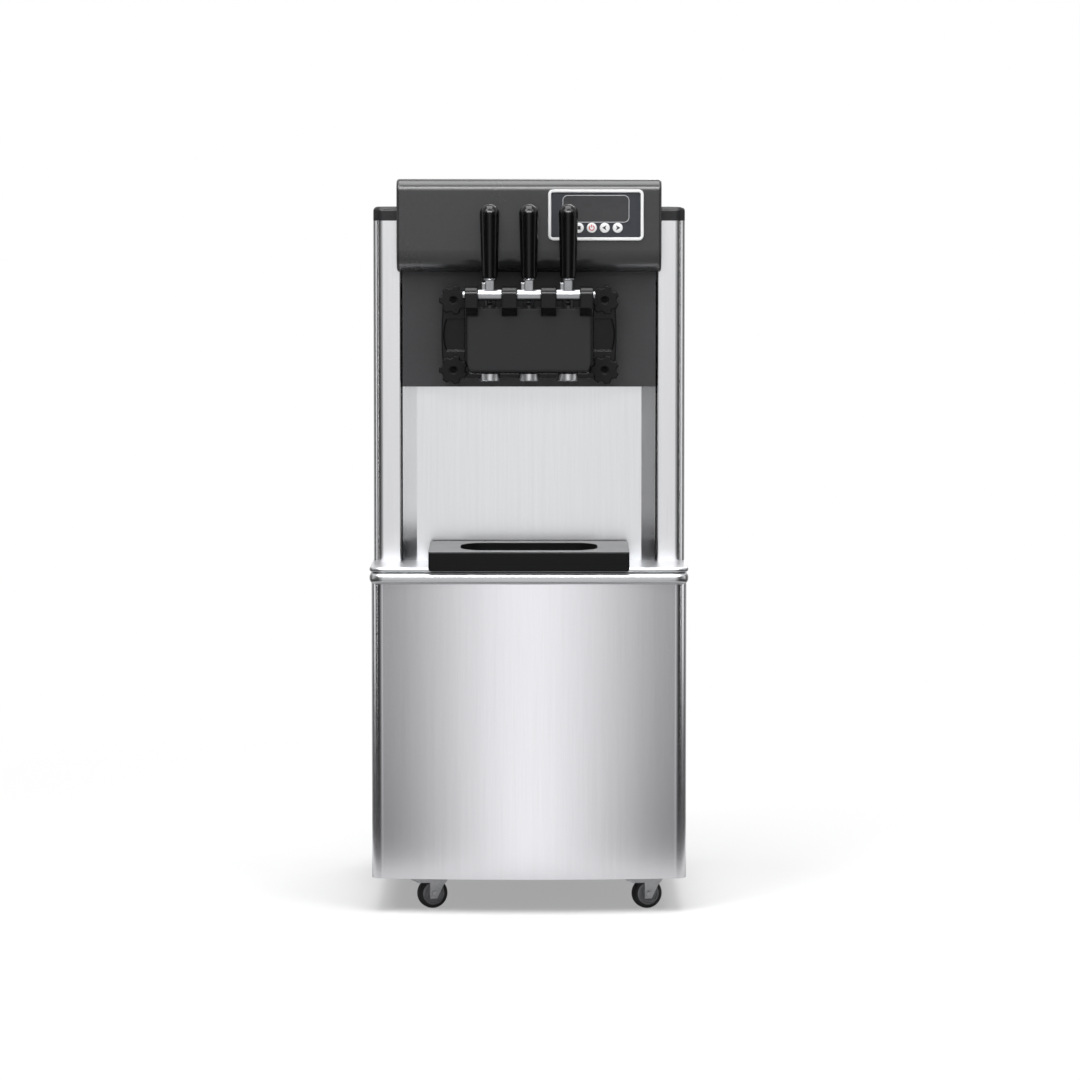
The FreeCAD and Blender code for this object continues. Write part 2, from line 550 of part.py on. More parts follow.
def front_columns():
    """Pair of bent sheets with a round outer corner and a lip along the panel gap."""
    columns = []
    for side in (-1, 1):
        body = new_body("column")
        edge = f"{HALF} * {side}"
        inner = f"{COLUMN_INNER} * {side}"
        wall = f"sheet_wall * {side}"
        corners = [(edge, COLUMN_FRONT), (edge, COLUMN_BACK), (f"{edge} - {wall}", COLUMN_BACK),
                   (f"{edge} - {wall}", f"{COLUMN_FRONT} + sheet_wall"),
                   (f"{inner} + {wall}", f"{COLUMN_FRONT} + sheet_wall"),
                   (f"{inner} + {wall}", f"{COLUMN_FRONT} + column_lip"),
                   (inner, f"{COLUMN_FRONT} + column_lip"), (inner, COLUMN_FRONT)]
        pad(body, outline(body, "XY_Plane", corners, SHELF_TOP), "column_height")
        soften(body, "column_corner - sheet_wall", lambda b: b.ZLength > 1
               and at(b.XMin, f"{edge} - {wall}") and at(b.YMin, f"{COLUMN_FRONT} + sheet_wall"))
        soften(body, "column_corner", lambda b: b.ZLength > 1
               and at(b.XMin, edge) and at(b.YMin, COLUMN_FRONT))
        soften(body, "column_bend - sheet_wall", lambda b: b.ZLength > 1 and at(b.XMin, f"{inner} + {wall}")
               and at(b.YMin, f"{COLUMN_FRONT} + sheet_wall"))
        soften(body, "column_bend", lambda b: b.ZLength > 1
               and at(b.XMin, inner) and at(b.YMin, COLUMN_FRONT))
        columns.append(body)
    group("front_columns", *columns)


def splash_panel():
    """Recessed sheet between the columns with an angled wing at each side."""
    body = new_body("splash_panel")
    edge = f"{COLUMN_FRONT} + 2"
    wall = "sheet_wall"
    knee = f"({PANEL_HALF} - splash_wing)"
    corners = [(f"0 - {PANEL_HALF}", edge), (f"0 - {knee}", SPLASH_FRONT), (knee, SPLASH_FRONT),
               (PANEL_HALF, edge), (PANEL_HALF, f"{edge} + {wall} * 1.4"), (knee, f"{SPLASH_FRONT} + {wall}"),
               (f"0 - {knee}", f"{SPLASH_FRONT} + {wall}"), (f"0 - {PANEL_HALF}", f"{edge} + {wall} * 1.4")]
    pad(body, outline(body, "XY_Plane", corners, SHELF_TOP), "splash_height")
    keep(body, "splash_panel")


def head_panel():
    """Plate behind the dispensing head with the two barrel openings and the stud holes."""
    body = new_body("head_panel")
    foot = f"{HEAD_BOTTOM} + head_wall"
    toe = f"{SPLASH_FRONT} + sheet_wall"
    corners = [(COLUMN_FRONT, HEAD_BOTTOM), (COLUMN_FRONT, COLUMN_TOP), (HEAD_BACK, COLUMN_TOP),
               (HEAD_BACK, foot),
               (toe, foot), (toe, HEAD_BOTTOM)]
    pad(body, outline(body, "YZ_Plane", corners), f"{PANEL_HALF} * 2", middle=True)
    for side in (-1, 1):
        ring = disc(body, "XZ_Plane", "barrel_bore", f"barrel_spacing / 2 * {side}", "barrel_height",
                    f"0 - {HEAD_BACK}")
        pocket(body, ring, "head_wall * 2", middle=True)
        for height in ("knob_low", "knob_high"):
            spot = disc(body, "XZ_Plane", "stud_radius + stud_fit", f"knob_across / 2 * {side}", height,
                        f"0 - {HEAD_BACK}")
            pocket(body, spot, "head_wall * 2", middle=True)
    keep(body, "head_panel")


def head_cover():
    """Hollow hood over the top of the head, open toward the cabinet."""
    body = new_body("head_cover")

    def section(wall, foot, back):
        front = bend(f"{HOOD_FRONT} + {wall}", f"{HOOD_BOTTOM} + {wall}", (-1, 0), (0, 1),
                     f"hood_low_round - {wall}")
        top = bend(f"{HOOD_FRONT} + {wall}", f"{HOOD_TOP} - {wall}", (0, 1), (1, 0),
                   f"hood_top_round - {wall}")
        rear = bend(f"{HOOD_BACK} - {wall}", f"{HOOD_TOP} - {wall}", (1, 0), (0, -1),
                    f"hood_back_round - {wall}")
        return front + top + rear + [(f"{HOOD_BACK} - {wall}", foot), (back, foot),
                                     (back, f"{HOOD_BOTTOM} + {wall}")]

    pad(body, outline(body, "YZ_Plane", section("0", RIM_TOP, COLUMN_FRONT)), "hood_width", middle=True)
    soften(body, "hood_end_round", lambda b: b.XLength < 1e-6 and not at(b.YMin, COLUMN_FRONT)
           and not at(b.ZMax, RIM_TOP) and not (at(b.YMin, HOOD_BACK) and at(b.ZMin, RIM_TOP)))
    hollow = outline(body, "YZ_Plane", section("hood_wall", f"{RIM_TOP} - 1", f"{COLUMN_FRONT} + 1"))
    pocket(body, hollow, "hood_width - hood_wall * 2", middle=True)
    keep(body, "head_cover")


def top_rim():
    """Trim band round the top with a sunken deck and two hopper openings."""
    body = new_body("top_rim")
    band = (bend(HALF, COLUMN_FRONT, (1, 0), (0, 1), "column_corner") + [(HALF, REAR), (f"0 - {HALF}",
                                                                                        REAR)]
            + bend(f"0 - {HALF}", COLUMN_FRONT, (0, -1), (1, 0), "column_corner"))
    pad(body, outline(body, "XY_Plane", band, COLUMN_TOP), "rim_height")
    soften(body, "rim_round", lambda b: b.ZLength < 1e-6 and at(b.ZMin, RIM_TOP)
           and not (at(b.YMin, COLUMN_FRONT) and at(b.YMax, COLUMN_FRONT)))
    inside = f"{HALF} - rim_width"
    sunk = rounded_frame(f"0 - ({inside})", inside, HOOD_BACK, f"{REAR} - rim_width", "rim_width")
    pocket(body, outline(body, "XY_Plane", sunk, RIM_TOP), "rim_height - deck_floor")
    for side in (-1, 1):
        pocket(body, outline(body, "XY_Plane", hopper_plan(side, "hopper_fit"), DECK))
    keep(body, "top_rim")


def hopper_plan(side, margin):
    """The plan of a hopper, grown by a margin."""
    center = f"hopper_center * {side}"
    half = f"(hopper_width / 2 + {margin})"
    reach = f"(hopper_length / 2 + {margin})"
    return rounded_frame(f"{center} - {half}", f"{center} + {half}", f"hopper_middle - {reach}",
                         f"hopper_middle + {reach}", f"hopper_round + {margin}")


def mix_hoppers():
    """Two drawn wells hung in the deck by their flanges, each with a feed hole in its floor."""
    wells = []
    for side in (-1, 1):
        body = new_body("hopper")
        pad(body, outline(body, "XY_Plane", hopper_plan(side, "hopper_flange"), DECK), "hopper_wall")
        pad(body, outline(body, "XY_Plane", hopper_plan(side, "0"), HOPPER_BOTTOM), "hopper_depth")
        pocket(body, outline(body, "XY_Plane", hopper_plan(side, "(0 - hopper_wall)"), FLANGE_TOP),
               "hopper_depth")
        hole = disc(body, "XY_Plane", "feed_radius + feed_fit", f"barrel_spacing / 2 * {side}",
                    "feed_middle", HOPPER_FLOOR)
        pocket(body, hole, "hopper_wall * 2", middle=True)
        wells.append(body)
    group("mix_hoppers", *wells)


def hopper_lid(label, side):
    """Flat lid with a locating rim below and a knob above."""
    body = new_body(label)
    under = f"{FLANGE_TOP}"
    pad(body, outline(body, "XY_Plane", hopper_plan(side, "lid_margin"), under), "lid_wall")
    rim = outline(body, "XY_Plane", hopper_plan(side, "(0 - hopper_wall - lid_rim_fit)"), under)
    pad(body, rim, "lid_rim", back=True)
    core = outline(body, "XY_Plane", hopper_plan(side, "(0 - hopper_wall - lid_rim_fit - lid_rim_wall)"),
                   under)
    pocket(body, core, "lid_rim + 1")
    top = f"{under} + lid_wall"
    pad(body, disc(body, "XY_Plane", "lid_knob_radius", f"hopper_center * {side}", "hopper_middle", top),
        "lid_knob_height")
    soften(body, "lid_knob_round", lambda b: b.ZLength < 1e-6 and at(b.ZMin, f"{top} + lid_knob_height"))
    keep(body, label)


def feed_tubes():
    """Two flanged tubes that stand in the hopper floors and lead to the barrels."""
    tubes = []
    for side in (-1, 1):
        spot = (f"barrel_spacing / 2 * {side}", "feed_middle")
        stem = rod("z", "feed_radius", f"{HOPPER_BOTTOM} - feed_drop", f"{HOPPER_FLOOR} + feed_rise", *spot)
        flange = rod("z", "feed_flange", HOPPER_FLOOR, f"{HOPPER_FLOOR} + feed_flange_wall", *spot)
        bore = rod("z", "feed_bore", f"{HOPPER_BOTTOM} - feed_drop - 1", f"{HOPPER_FLOOR} + feed_rise + 1",
                   *spot)
        tubes.append(cut(fuse(stem, flange), bore))
    group("feed_tubes", *tubes)


def freezing_cylinders():
    """Two jacketed barrels welded to one front plate with four studs."""
    solids = [box("0 - plate_half", "plate_half", HEAD_BACK, f"{HEAD_BACK} + plate_wall", "plate_bottom",
                  "plate_top")]
    bores = []
    for side in (-1, 1):
        across = f"barrel_spacing / 2 * {side}"
        spot = (across, "barrel_height")
        solids.append(rod("y", "barrel_bore + barrel_wall", HEAD_BACK, "barrel_end", *spot))
        solids.append(rod("y", "jacket_radius", "jacket_front", "jacket_back", *spot))
        solids.append(rod("z", "inlet_radius", "barrel_height + barrel_bore + 1", HOPPER_BOTTOM, across,
                          "feed_middle"))
        bores.append(rod("y", "barrel_bore", f"{HEAD_BACK} - 1", "barrel_end - barrel_cap", *spot))
        bores.append(rod("y", "shaft_radius + shaft_fit", "0", "barrel_end + 1", *spot))
        bores.append(rod("z", "feed_radius + feed_fit", "barrel_height", f"{HOPPER_BOTTOM} + 1", across,
                         "feed_middle"))
        for height in ("knob_low", "knob_high"):
            solids.append(rod("y", "stud_radius", f"{HEAD_BACK} - stud_reach", HEAD_BACK,
                              f"knob_across / 2 * {side}", height))
    keep(cut(fuse(*solids), *bores), "freezing_cylinders")


def beater(label, side):
    """Shaft with two spiders that carry a pair of scraper bars."""
    across = f"barrel_spacing / 2 * {side}"
    pieces = [rod("y", "shaft_radius", "beater_front", "beater_back", across, "barrel_height")]
    for hand in (-1, 1):
        middle = f"({across} + (beater_reach - blade_width / 2 - 1) * {hand})"
        pieces.append(box(f"{middle} - blade_width / 2", f"{middle} + blade_width / 2", "blade_front",
                          "blade_back",
                          "barrel_height - blade_wall / 2", "barrel_height + blade_wall / 2"))
    for along in ("blade_front", "blade_back - spider_wall"):
        pieces.append(box(f"{across} - beater_reach + 2", f"{across} + beater_reach - 2", along,
                          f"{along} + spider_wall",
                          "barrel_height - spider_wall / 2", "barrel_height + spider_wall / 2"))
    keep(fuse(*pieces), label)


def gear_motors():
    """Gearbox and motor behind each barrel, with a socket for the beater shaft."""
    drives = []
    for side in (-1, 1):
        across = f"barrel_spacing / 2 * {side}"
        back = "(barrel_end + gearbox_length)"
        gearbox = box(f"{across} - gearbox_width / 2", f"{across} + gearbox_width / 2", "barrel_end", back,
                      "barrel_height - gearbox_width / 2", "barrel_height + gearbox_width / 2")
        motor = rod("y", "motor_radius", back, f"{back} + motor_length", across, "barrel_height")
        socket = rod("y", "shaft_radius + shaft_fit", "barrel_end - 1", "barrel_end + socket_depth", across,
                     "barrel_height")
        drives.append(cut(fuse(gearbox, motor), socket))
    group("gear_motors", *drives)


def compressor():
    """Round hermetic shell on a foot disc."""
    body = new_body("compressor")
    top = "(compressor_foot_wall + compressor_height)"
    corners = [("0", "0"), ("compressor_foot", "0"), ("compressor_foot", "compressor_foot_wall"),
               ("compressor_radius", "compressor_foot_wall")]
    corners += bend("compressor_radius", top, (0, 1), (-1, 0), "compressor_round") + [("0", top)]
    turn(body, outline(body, "XZ_Plane", corners), "Z_Axis")
    keep(place(body, "compressor_across", "compressor_along", PAN_TOP), "compressor")


def condenser():
    """Finned block beside the left louvres."""
    body = new_body("condenser")
    inner = f"condenser_gap - {INSIDE}"
    outer = f"{inner} + condenser_width"
    plan = [(inner, "condenser_front"), (outer, "condenser_front"), (outer, "condenser_back"),
            (inner, "condenser_back")]
    pad(body, outline(body, "XY_Plane", plan, PAN_TOP), "condenser_height")
    low = f"{PAN_TOP} + fin_margin"
    gap = [(f"{outer} - fin_depth", low), (f"{outer} + 1", low), (f"{outer} + 1", f"{low} + fin_gap"),
           (f"{outer} - fin_depth", f"{low} + fin_gap")]
    slot = pocket(body, outline(body, "XZ_Plane", gap))
    row_of(body, [slot], "Z_Axis", "fin_pitch * (fin_count - 1)", "(fin_count - 1)")
    keep(body, "condenser")


def fan_motor():
    """Motor on a post, with its shaft toward the condenser."""
    height = f"({PAN_TOP} + fan_lift)"
    front = "(fan_across + fan_motor_gap)"
    can = rod("x", "fan_motor_radius", front, f"{front} + fan_motor_length", "fan_along", height)
    shaft = rod("x", "fan_shaft", "fan_across - fan_hub_wall / 2", front, "fan_along", height)
    middle = f"({front} + fan_motor_length / 2)"
    post = box(f"{middle} - fan_post / 2", f"{middle} + fan_post / 2", "fan_along - fan_post / 2",
               "fan_along + fan_post / 2", PAN_TOP, height)
    keep(fuse(can, shaft, post), "fan_motor")


def fan_blade():
    """Hub with pitched blades, turning on the fan motor's shaft."""
    body = new_body("fan_blade")
    pad(body, disc(body, "YZ_Plane", "fan_hub"), "fan_hub_wall", middle=True)
    run = ("fan_blade_half * sin(fan_blade_twist)", "fan_blade_half * cos(fan_blade_twist)")
    skew = ("fan_blade_wall * cos(fan_blade_twist) / 2", "fan_blade_wall * sin(fan_blade_twist) / 2")
    corners = [(f"0 - {run[0]} - {skew[0]}", f"{skew[1]} - {run[1]}"),
               (f"{skew[0]} - {run[0]}", f"0 - {run[1]} - {skew[1]}"),
               (f"{run[0]} + {skew[0]}", f"{run[1]} - {skew[1]}"),
               (f"{run[0]} - {skew[0]}", f"{run[1]} + {skew[1]}")]
    vane = pad(body, outline(body, "XY_Plane", corners, "fan_hub * 0.7"), "fan_radius - fan_hub * 0.7")
    ring_of(body, [vane], "X_Axis", "fan_blade_count")
    pocket(body, disc(body, "YZ_Plane", "fan_shaft + shaft_fit"))
    keep(place(body, "fan_across", "fan_along", f"{PAN_TOP} + fan_lift"), "fan_blade")


def control_bezel():
    """Plate with a raised frame, a sunk face and five button holes."""
    body = new_body("control_bezel")

    def plan(inset):
        return rounded_frame(f"bezel_center - bezel_width / 2 + {inset}",
                             f"bezel_center + bezel_width / 2 - {inset}",
                             f"bezel_middle - bezel_height / 2 + {inset}",
                             f"bezel_middle + bezel_height / 2 - {inset}",
                             "bezel_round" if inset == "0" else "bezel_round * 0.6")

    pad(body, outline(body, "XZ_Plane", plan("0"), f"0 - {HOOD_FRONT}"), "bezel_plate")
    pocket(body, outline(body, "XZ_Plane", plan("bezel_frame"), f"0 - {BEZEL_FRONT}"), "bezel_face")
    hole = disc(body, "XZ_Plane", "button_radius + button_fit", "button_first", "button_middle",
                f"0 - {BEZEL_FRONT}")
    row_of(body, [pocket(body, hole)], "X_Axis", "button_pitch * 4", "5")
    keep(body, "control_bezel")


def display_window():
    """Thin window on the sunk face."""
    body = new_body("display_window")
    plan = rounded_frame("bezel_center - display_width / 2", "bezel_center + display_width / 2",
                         "display_middle - display_height / 2", "display_middle + display_height / 2",
                         "display_round")
    pad(body, outline(body, "XZ_Plane", plan, f"0 - {BEZEL_FACE}"), "display_wall")
    keep(body, "display_window")


def button(label, place_in_row):
    """Push button standing in its bezel hole."""
    front = f"({BEZEL_FACE} - button_proud)"
    made = rod("y", "button_radius", front, f"{front} + button_wall",
               f"button_first + button_pitch * {place_in_row}",
               "button_middle")
    keep(made, label)


def control_board():
    """Board on four spacers behind the bezel, inside the hood."""
    inner = f"({HOOD_FRONT} + hood_wall)"
    back = f"({inner} + board_spacer)"
    half = ("board_width / 2", "board_height / 2")
    pieces = [box(f"bezel_center - {half[0]}", f"bezel_center + {half[0]}", back, f"{back} + board_wall",
                  f"bezel_middle - {half[1]}", f"bezel_middle + {half[1]}")]
    for side in (-1, 1):
        for level in (-1, 1):
            pieces.append(rod("y", "spacer_radius", inner, back,
                              f"bezel_center + ({half[0]} - spacer_inset) * {side}",
                              f"bezel_middle + ({half[1]} - spacer_inset) * {level}"))
    keep(fuse(*pieces), "control_board")


def block_casting():
    """Flange with hollowed wings and the body of the dispensing head in front of it."""
    body = new_body("block_casting")
    corners = [("0 - flange_half", "flange_bottom"), ("flange_half", "flange_bottom",
               "flange_half + flange_bulge", "(flange_bottom + flange_top) / 2"),
               ("flange_half", "flange_top"),
               ("0 - flange_half", "flange_top", "0 - flange_half - flange_bulge",
                "(flange_bottom + flange_top) / 2")]
    pad(body, outline(body, "XZ_Plane", corners, f"0 - {COLUMN_FRONT}"), "flange_wall")
    soften(body, "flange_round", lambda b: b.YLength > 1)
    soften(body, "wing_rim / 2", lambda b: b.YLength < 1e-6 and at(b.YMin, FLANGE_FRONT))
    for side in (-1, 1):
        inner = f"(block_half - 1) * {side}"
        outer = f"(flange_half - wing_rim) * {side}"
        bulge = f"(flange_half + flange_bulge - wing_rim) * {side}"
        wing = [(inner, "wing_low"), (outer, "wing_low", bulge, "(wing_low + wing_high) / 2"),
                (outer, "wing_high"), (inner, "wing_high")]
        pocket(body, outline(body, "XZ_Plane", wing, f"0 - {FLANGE_FRONT}"), "wing_depth")
    face = [("0 - block_half", "block_bottom"), ("block_half", "block_bottom"), ("block_half", "block_top"),
            ("0 - block_half", "block_top")]
    pad(body, outline(body, "XZ_Plane", face, f"wing_depth - {COLUMN_FRONT}"), "block_depth - wing_depth")
    soften(body, "block_corner", lambda b: b.YLength > 1 and b.XLength < 1e-6 and at(b.ZMax, "block_bottom")
           and at(abs(b.XMin), "block_half"))
    soften(body, "block_round", lambda b: at(b.YMin, BLOCK_FRONT) and at(b.YMax, BLOCK_FRONT)
           and not at(b.ZMin, "block_top"))
    return body


def hinge_lug(start, width):
    """Hinge lug that stands forward of the block's upper edge."""
    body = new_body("hinge_lug")
    front = f"{HINGE} - lug_radius"
    back = f"{HINGE} + lug_radius"
    foot = f"{BLOCK_FRONT} + block_round + 1"
    corners = [(back, "hinge_height", HINGE, "hinge_height + lug_radius"), (front, "hinge_height"),
               (front, "lug_low + lug_radius"), (f"{BLOCK_FRONT} - 3", "lug_low"), (foot, "lug_low"),
               (foot, "block_top - 2"), (back, "block_top - 2")]
    pad(body, outline(body, "YZ_Plane", corners, start), width)
    return body


def dispenser_block():
    """Casting with lugs, outlet bosses, valve bores, product ports and stud holes."""
    solids = [block_casting()]
    inner = "(lever_gap / 2)"
    outer = "(lever_pitch + lever_gap / 2)"
    solids.append(hinge_lug(inner, "lever_pitch - lever_gap"))
    solids.append(hinge_lug(f"{inner} - lever_pitch", "lever_pitch - lever_gap"))
    solids.append(hinge_lug(outer, "lug_outer"))
    solids.append(hinge_lug(f"0 - {outer} - lug_outer", "lug_outer"))
    holes = [rod("x", "pin_radius + pin_fit", f"0 - {outer} - lug_outer - 1", f"{outer} + lug_outer + 1",
                 HINGE, "hinge_height")]
    for step in (-1, 0, 1):
        across = f"lever_pitch * {step}"
        solids.append(rod("z", "boss_radius", "block_bottom - boss_drop", "block_bottom + 1", across,
                          PLUNGER))
        holes.append(rod("z", "plunger_radius + plunger_fit", "bore_bottom", "block_top + 1", across,
                         PLUNGER))
        holes.append(rod("z", "outlet_radius", "block_bottom - boss_drop - 1", "bore_bottom + 1", across,
                         PLUNGER))
    for side in (-1, 1):
        across = f"barrel_spacing / 2 * {side}"
        cup = f"({COLUMN_FRONT} - port_recess)"
        holes.append(rod("y", "port_cup", cup, f"{COLUMN_FRONT} + 1", across, "barrel_height"))
        holes.append(rod("y", "port_radius", PLUNGER, cup, f"lever_pitch * {side}", "port_height"))
        branch = rod("z", "branch_radius", "0", "branch_length", "0", PLUNGER)
        place(branch, "0", PLUNGER, "port_height", (-1, side, 0), "90")
        holes.append(branch)
        for height in ("knob_low", "knob_high"):
            spot = (f"knob_across / 2 * {side}", height)
            holes.append(rod("y", "stud_radius + stud_fit", f"{FLANGE_FRONT} - 1", f"{COLUMN_FRONT} + 1",
                             *spot))
            holes.append(rod("y", "knob_relief", f"{BLOCK_FRONT} - 1", FLANGE_FRONT, *spot))
    keep(cut(fuse(*solids), *holes), "dispenser_block")


def nozzles():
    """Three caps on the outlet bosses, each with a star opening."""
    caps = []
    for step in (-1, 0, 1):
        body = new_body("nozzle")
        pad(body, disc(body, "XY_Plane", "nozzle_radius", lift="0 - nozzle_drop"), "nozzle_drop")
        soften(body, "nozzle_edge", lambda b: b.ZLength < 1e-6 and at(b.ZMin, "0 - nozzle_drop"))
        pocket(body, disc(body, "XY_Plane", "boss_radius"), "boss_drop")
        corners = []
        for point in range(12):
            reach = "star_tip" if point % 2 == 0 else "star_valley"
            corners.append((f"{reach} * cos({point * 30})", f"{reach} * sin({point * 30})"))
        pocket(body, outline(body, "XY_Plane", corners))
        caps.append(place(body, f"lever_pitch * {step}", PLUNGER, "block_bottom"))
    group("nozzles", *caps)


def plunger(label, step):
    """Valve piston with two ring grooves and a slotted stem for the lever's tail."""
    body = new_body(label)
    groove = "(plunger_radius - ring_depth)"
    corners = [("0", "plunger_bottom"), ("plunger_radius", "plunger_bottom")]
    for low in ("(plunger_bottom + ring_low)", "(plunger_bottom + ring_high)"):
        corners += [("plunger_radius", low), (groove, low), (groove, f"{low} + ring_groove"),
                    ("plunger_radius", f"{low} + ring_groove")]
    corners += [("plunger_radius", "plunger_top"), ("stem_radius", "plunger_top"),
                ("stem_radius", "stem_top"), ("0", "stem_top")]
    turn(body, outline(body, "XZ_Plane", corners), "Z_Axis")
    reach = "0 - stem_radius - 1"
    slot = [("slot_back", f"{SLOT_HEIGHT} - slot_half"), ("slot_back", f"{SLOT_HEIGHT} + slot_half"),
            ("0 - slot_throat", f"{SLOT_HEIGHT} + slot_half"), (reach, f"{SLOT_HEIGHT} + slot_flare"),
            (reach, f"{SLOT_HEIGHT} - slot_flare"), ("0 - slot_throat", f"{SLOT_HEIGHT} - slot_half")]
    pocket(body, outline(body, "YZ_Plane", slot), "slot_width", middle=True)
    keep(place(body, f"lever_pitch * {step}", PLUNGER), label)


def lever_arm(label, step):
    """Hinge barrel with an upright shank, a tang for the grip and a tail that lifts the plunger."""
    width = "(lever_gap / 2 - lever_fit)"
    body = new_body(label)
    pad(body, disc(body, "YZ_Plane", "barrel_hinge_radius"), f"{width} * 2", middle=True)
    half = "shank_size / 2"
    post = [(f"0 - {half}", "0"), (half, "0"), (half, "shank_top"), (f"0 - {half}", "shank_top")]
    pad(body, outline(body, "YZ_Plane", post), "shank_size", middle=True)
    cheek = [("0 - cheek_depth / 2", "0"), ("cheek_depth / 2", "0"), ("cheek_depth / 2", "cheek_top"),
             ("0 - cheek_depth / 2", "cheek_top")]
    pad(body, outline(body, "YZ_Plane", cheek, f"0 - {half} - cheek_width"), "cheek_width")
    pad(body, disc(body, "XY_Plane", "collar_radius", lift="shank_top"), "collar_wall")
    pad(body, disc(body, "XY_Plane", "tang_radius", lift="shank_top + collar_wall"), "tang_length")
    slope = "(0 - lever_drop - lever_lean)"
    tip = (f"lever_arm_length * cos{slope}", f"lever_arm_length * sin{slope}")
    skew = (f"tail_wall / 2 * sin{slope}", f"tail_wall / 2 * cos{slope}")
    tail = [(f"0 - {skew[0]}", skew[1]), (skew[0], f"0 - {skew[1]}"),
            (f"{tip[0]} + {skew[0]}", f"{tip[1]} - {skew[1]}"),
            (f"{tip[0]} - {skew[0]}", f"{tip[1]} + {skew[1]}")]
    pad(body, outline(body, "YZ_Plane", tail), "tail_width", middle=True)
    pad(body, disc(body, "YZ_Plane", "tail_pin_radius", *tip), "tail_width", middle=True)
    pocket(body, disc(body, "YZ_Plane", "pin_radius + pin_fit"))
    keep(place(body, f"lever_pitch * {step}", HINGE, "hinge_height", (1, 0, 0), "lever_lean"), label)


def lever_grip(label, step):
    """Bullet-shaped handle over the arm's tang."""
    body = new_body(label)
    bottom = "(shank_top + collar_wall)"
    bore = "(tang_radius + tang_fit)"
    hole_top = f"{bottom} + tang_length + 1"
    rise = "(grip_top - grip_shoulder)"
    dome = f"((grip_high_radius ^ 2 + {rise} ^ 2) / (2 * {rise}))"
    half_turn = f"asin(grip_high_radius / {dome}) / 2"
    edge = ("grip_low_radius - grip_edge * 0.293", f"{bottom} + grip_edge * 0.293")
    crown = (f"{dome} * sin({half_turn})", f"grip_top - {dome} + {dome} * cos({half_turn})")
    corners = [(bore, bottom), ("grip_low_radius - grip_edge", bottom) + edge,
               ("grip_low_radius", f"{bottom} + grip_edge"), ("grip_high_radius", "grip_shoulder") + crown,
               ("0", "grip_top"), ("0", hole_top), (bore, hole_top)]
    turn(body, outline(body, "XZ_Plane", corners), "Z_Axis")
    keep(place(body, f"lever_pitch * {step}", HINGE, "hinge_height", (1, 0, 0), "lever_lean"), label)


def hinge_pin():
    """Rod through all lugs with a head at each end."""
    end = "(lever_pitch + lever_gap / 2 + lug_outer)"
    spot = (HINGE, "hinge_height")
    keep(fuse(rod("x", "pin_radius", f"0 - {end}", end, *spot),
              rod("x", "pin_head", f"0 - {end} - pin_head_wall", f"0 - {end}", *spot),
              rod("x", "pin_head", end, f"{end} + pin_head_wall", *spot)), "hinge_pin")


def star_knob(label, side, height):
    """Lobed hand nut with a sunk center, on one of the studs."""
    body = new_body(label)
    pad(body, disc(body, "XZ_Plane", "knob_radius"), "knob_wall")
    bite = pocket(body, disc(body, "XZ_Plane", "knob_scallop", "knob_scallop_out"))
    ring_of(body, [bite], "Y_Axis", "knob_lobes")
    soften(body, "knob_edge", lambda b: b.YLength < 1e-6)
    pocket(body, disc(body, "XZ_Plane", "knob_well", lift="knob_wall"), "knob_well_depth")
    pocket(body, disc(body, "XZ_Plane", "stud_radius + shaft_fit"))
    keep(place(body, f"knob_across / 2 * {side}", f"{FLANGE_FRONT} - knob_gap", height), label)


def tray_plan(inset):
    """The plan of the tray's recess, drawn in by an inset."""
    middle = f"({TRAY_FRONT} + recess_middle)"
    return rounded_frame(f"{inset} - recess_width / 2", f"recess_width / 2 - {inset}",
                         f"{middle} - recess_depth / 2 + {inset}", f"{middle} + recess_depth / 2 - {inset}",
                         f"recess_round - {inset}")


def drip_tray():
    """Wedge-shaped tray whose apron hangs over the shelf's upper bead, with a stepped recess."""
    body = new_body("drip_tray")
    low = f"{SHELF_TOP} - apron_drop"
    back = f"{TRAY_FRONT} + tray_depth"
    inner = f"{SHELF_FRONT} - apron_gap"
    corners = [(TRAY_FRONT, low), (inner, low), (inner, SHELF_TOP), (back, SHELF_TOP),
               (back, f"{SHELF_TOP} + tray_back_height"), (TRAY_FRONT, f"{low} + tray_front_height")]
    pad(body, outline(body, "YZ_Plane", corners), "tray_width", middle=True)
    soften(body, "apron_round", lambda b: b.XLength < 1e-6 and b.ZLength < 1e-6 and at(b.ZMin, low))
    soften(body, "tray_round", lambda b: b.XLength < 1e-6 and b.YLength < 1e-6 and at(b.YMin, back))
    soften(body, "tray_edge", lambda b: at(b.YMin, TRAY_FRONT) and at(b.YMax, TRAY_FRONT))
    pocket(body, outline(body, "XY_Plane", tray_plan("0"), f"{SHELF_TOP} + tray_back_height + 1"),
           "tray_back_height + 1 - ledge_rise")
    pocket(body, outline(body, "XY_Plane", tray_plan("ledge_width"), TRAY_SEAT), "ledge_rise - tray_floor")
    keep(body, "drip_tray")


def drip_grid():
    """Slotted plate on the ledge of the tray's recess."""
    body = new_body("drip_grid")
    pad(body, outline(body, "XY_Plane", tray_plan("grid_fit"), TRAY_SEAT), "grid_wall")
    middle = f"({TRAY_FRONT} + recess_middle)"
    reach = "(recess_depth / 2 - grid_margin)"
    first = "(0 - grid_pitch * (grid_count - 1) / 2)"
    slot = rounded_frame(f"{first} - grid_slot / 2", f"{first} + grid_slot / 2", f"{middle} - {reach}",
                         f"{middle} + {reach}", "grid_slot * 0.45")
    opening = pocket(body, outline(body, "XY_Plane", slot, TRAY_SEAT))
    row_of(body, [opening], "X_Axis", "grid_pitch * (grid_count - 1)", "grid_count")
    keep(body, "drip_grid")


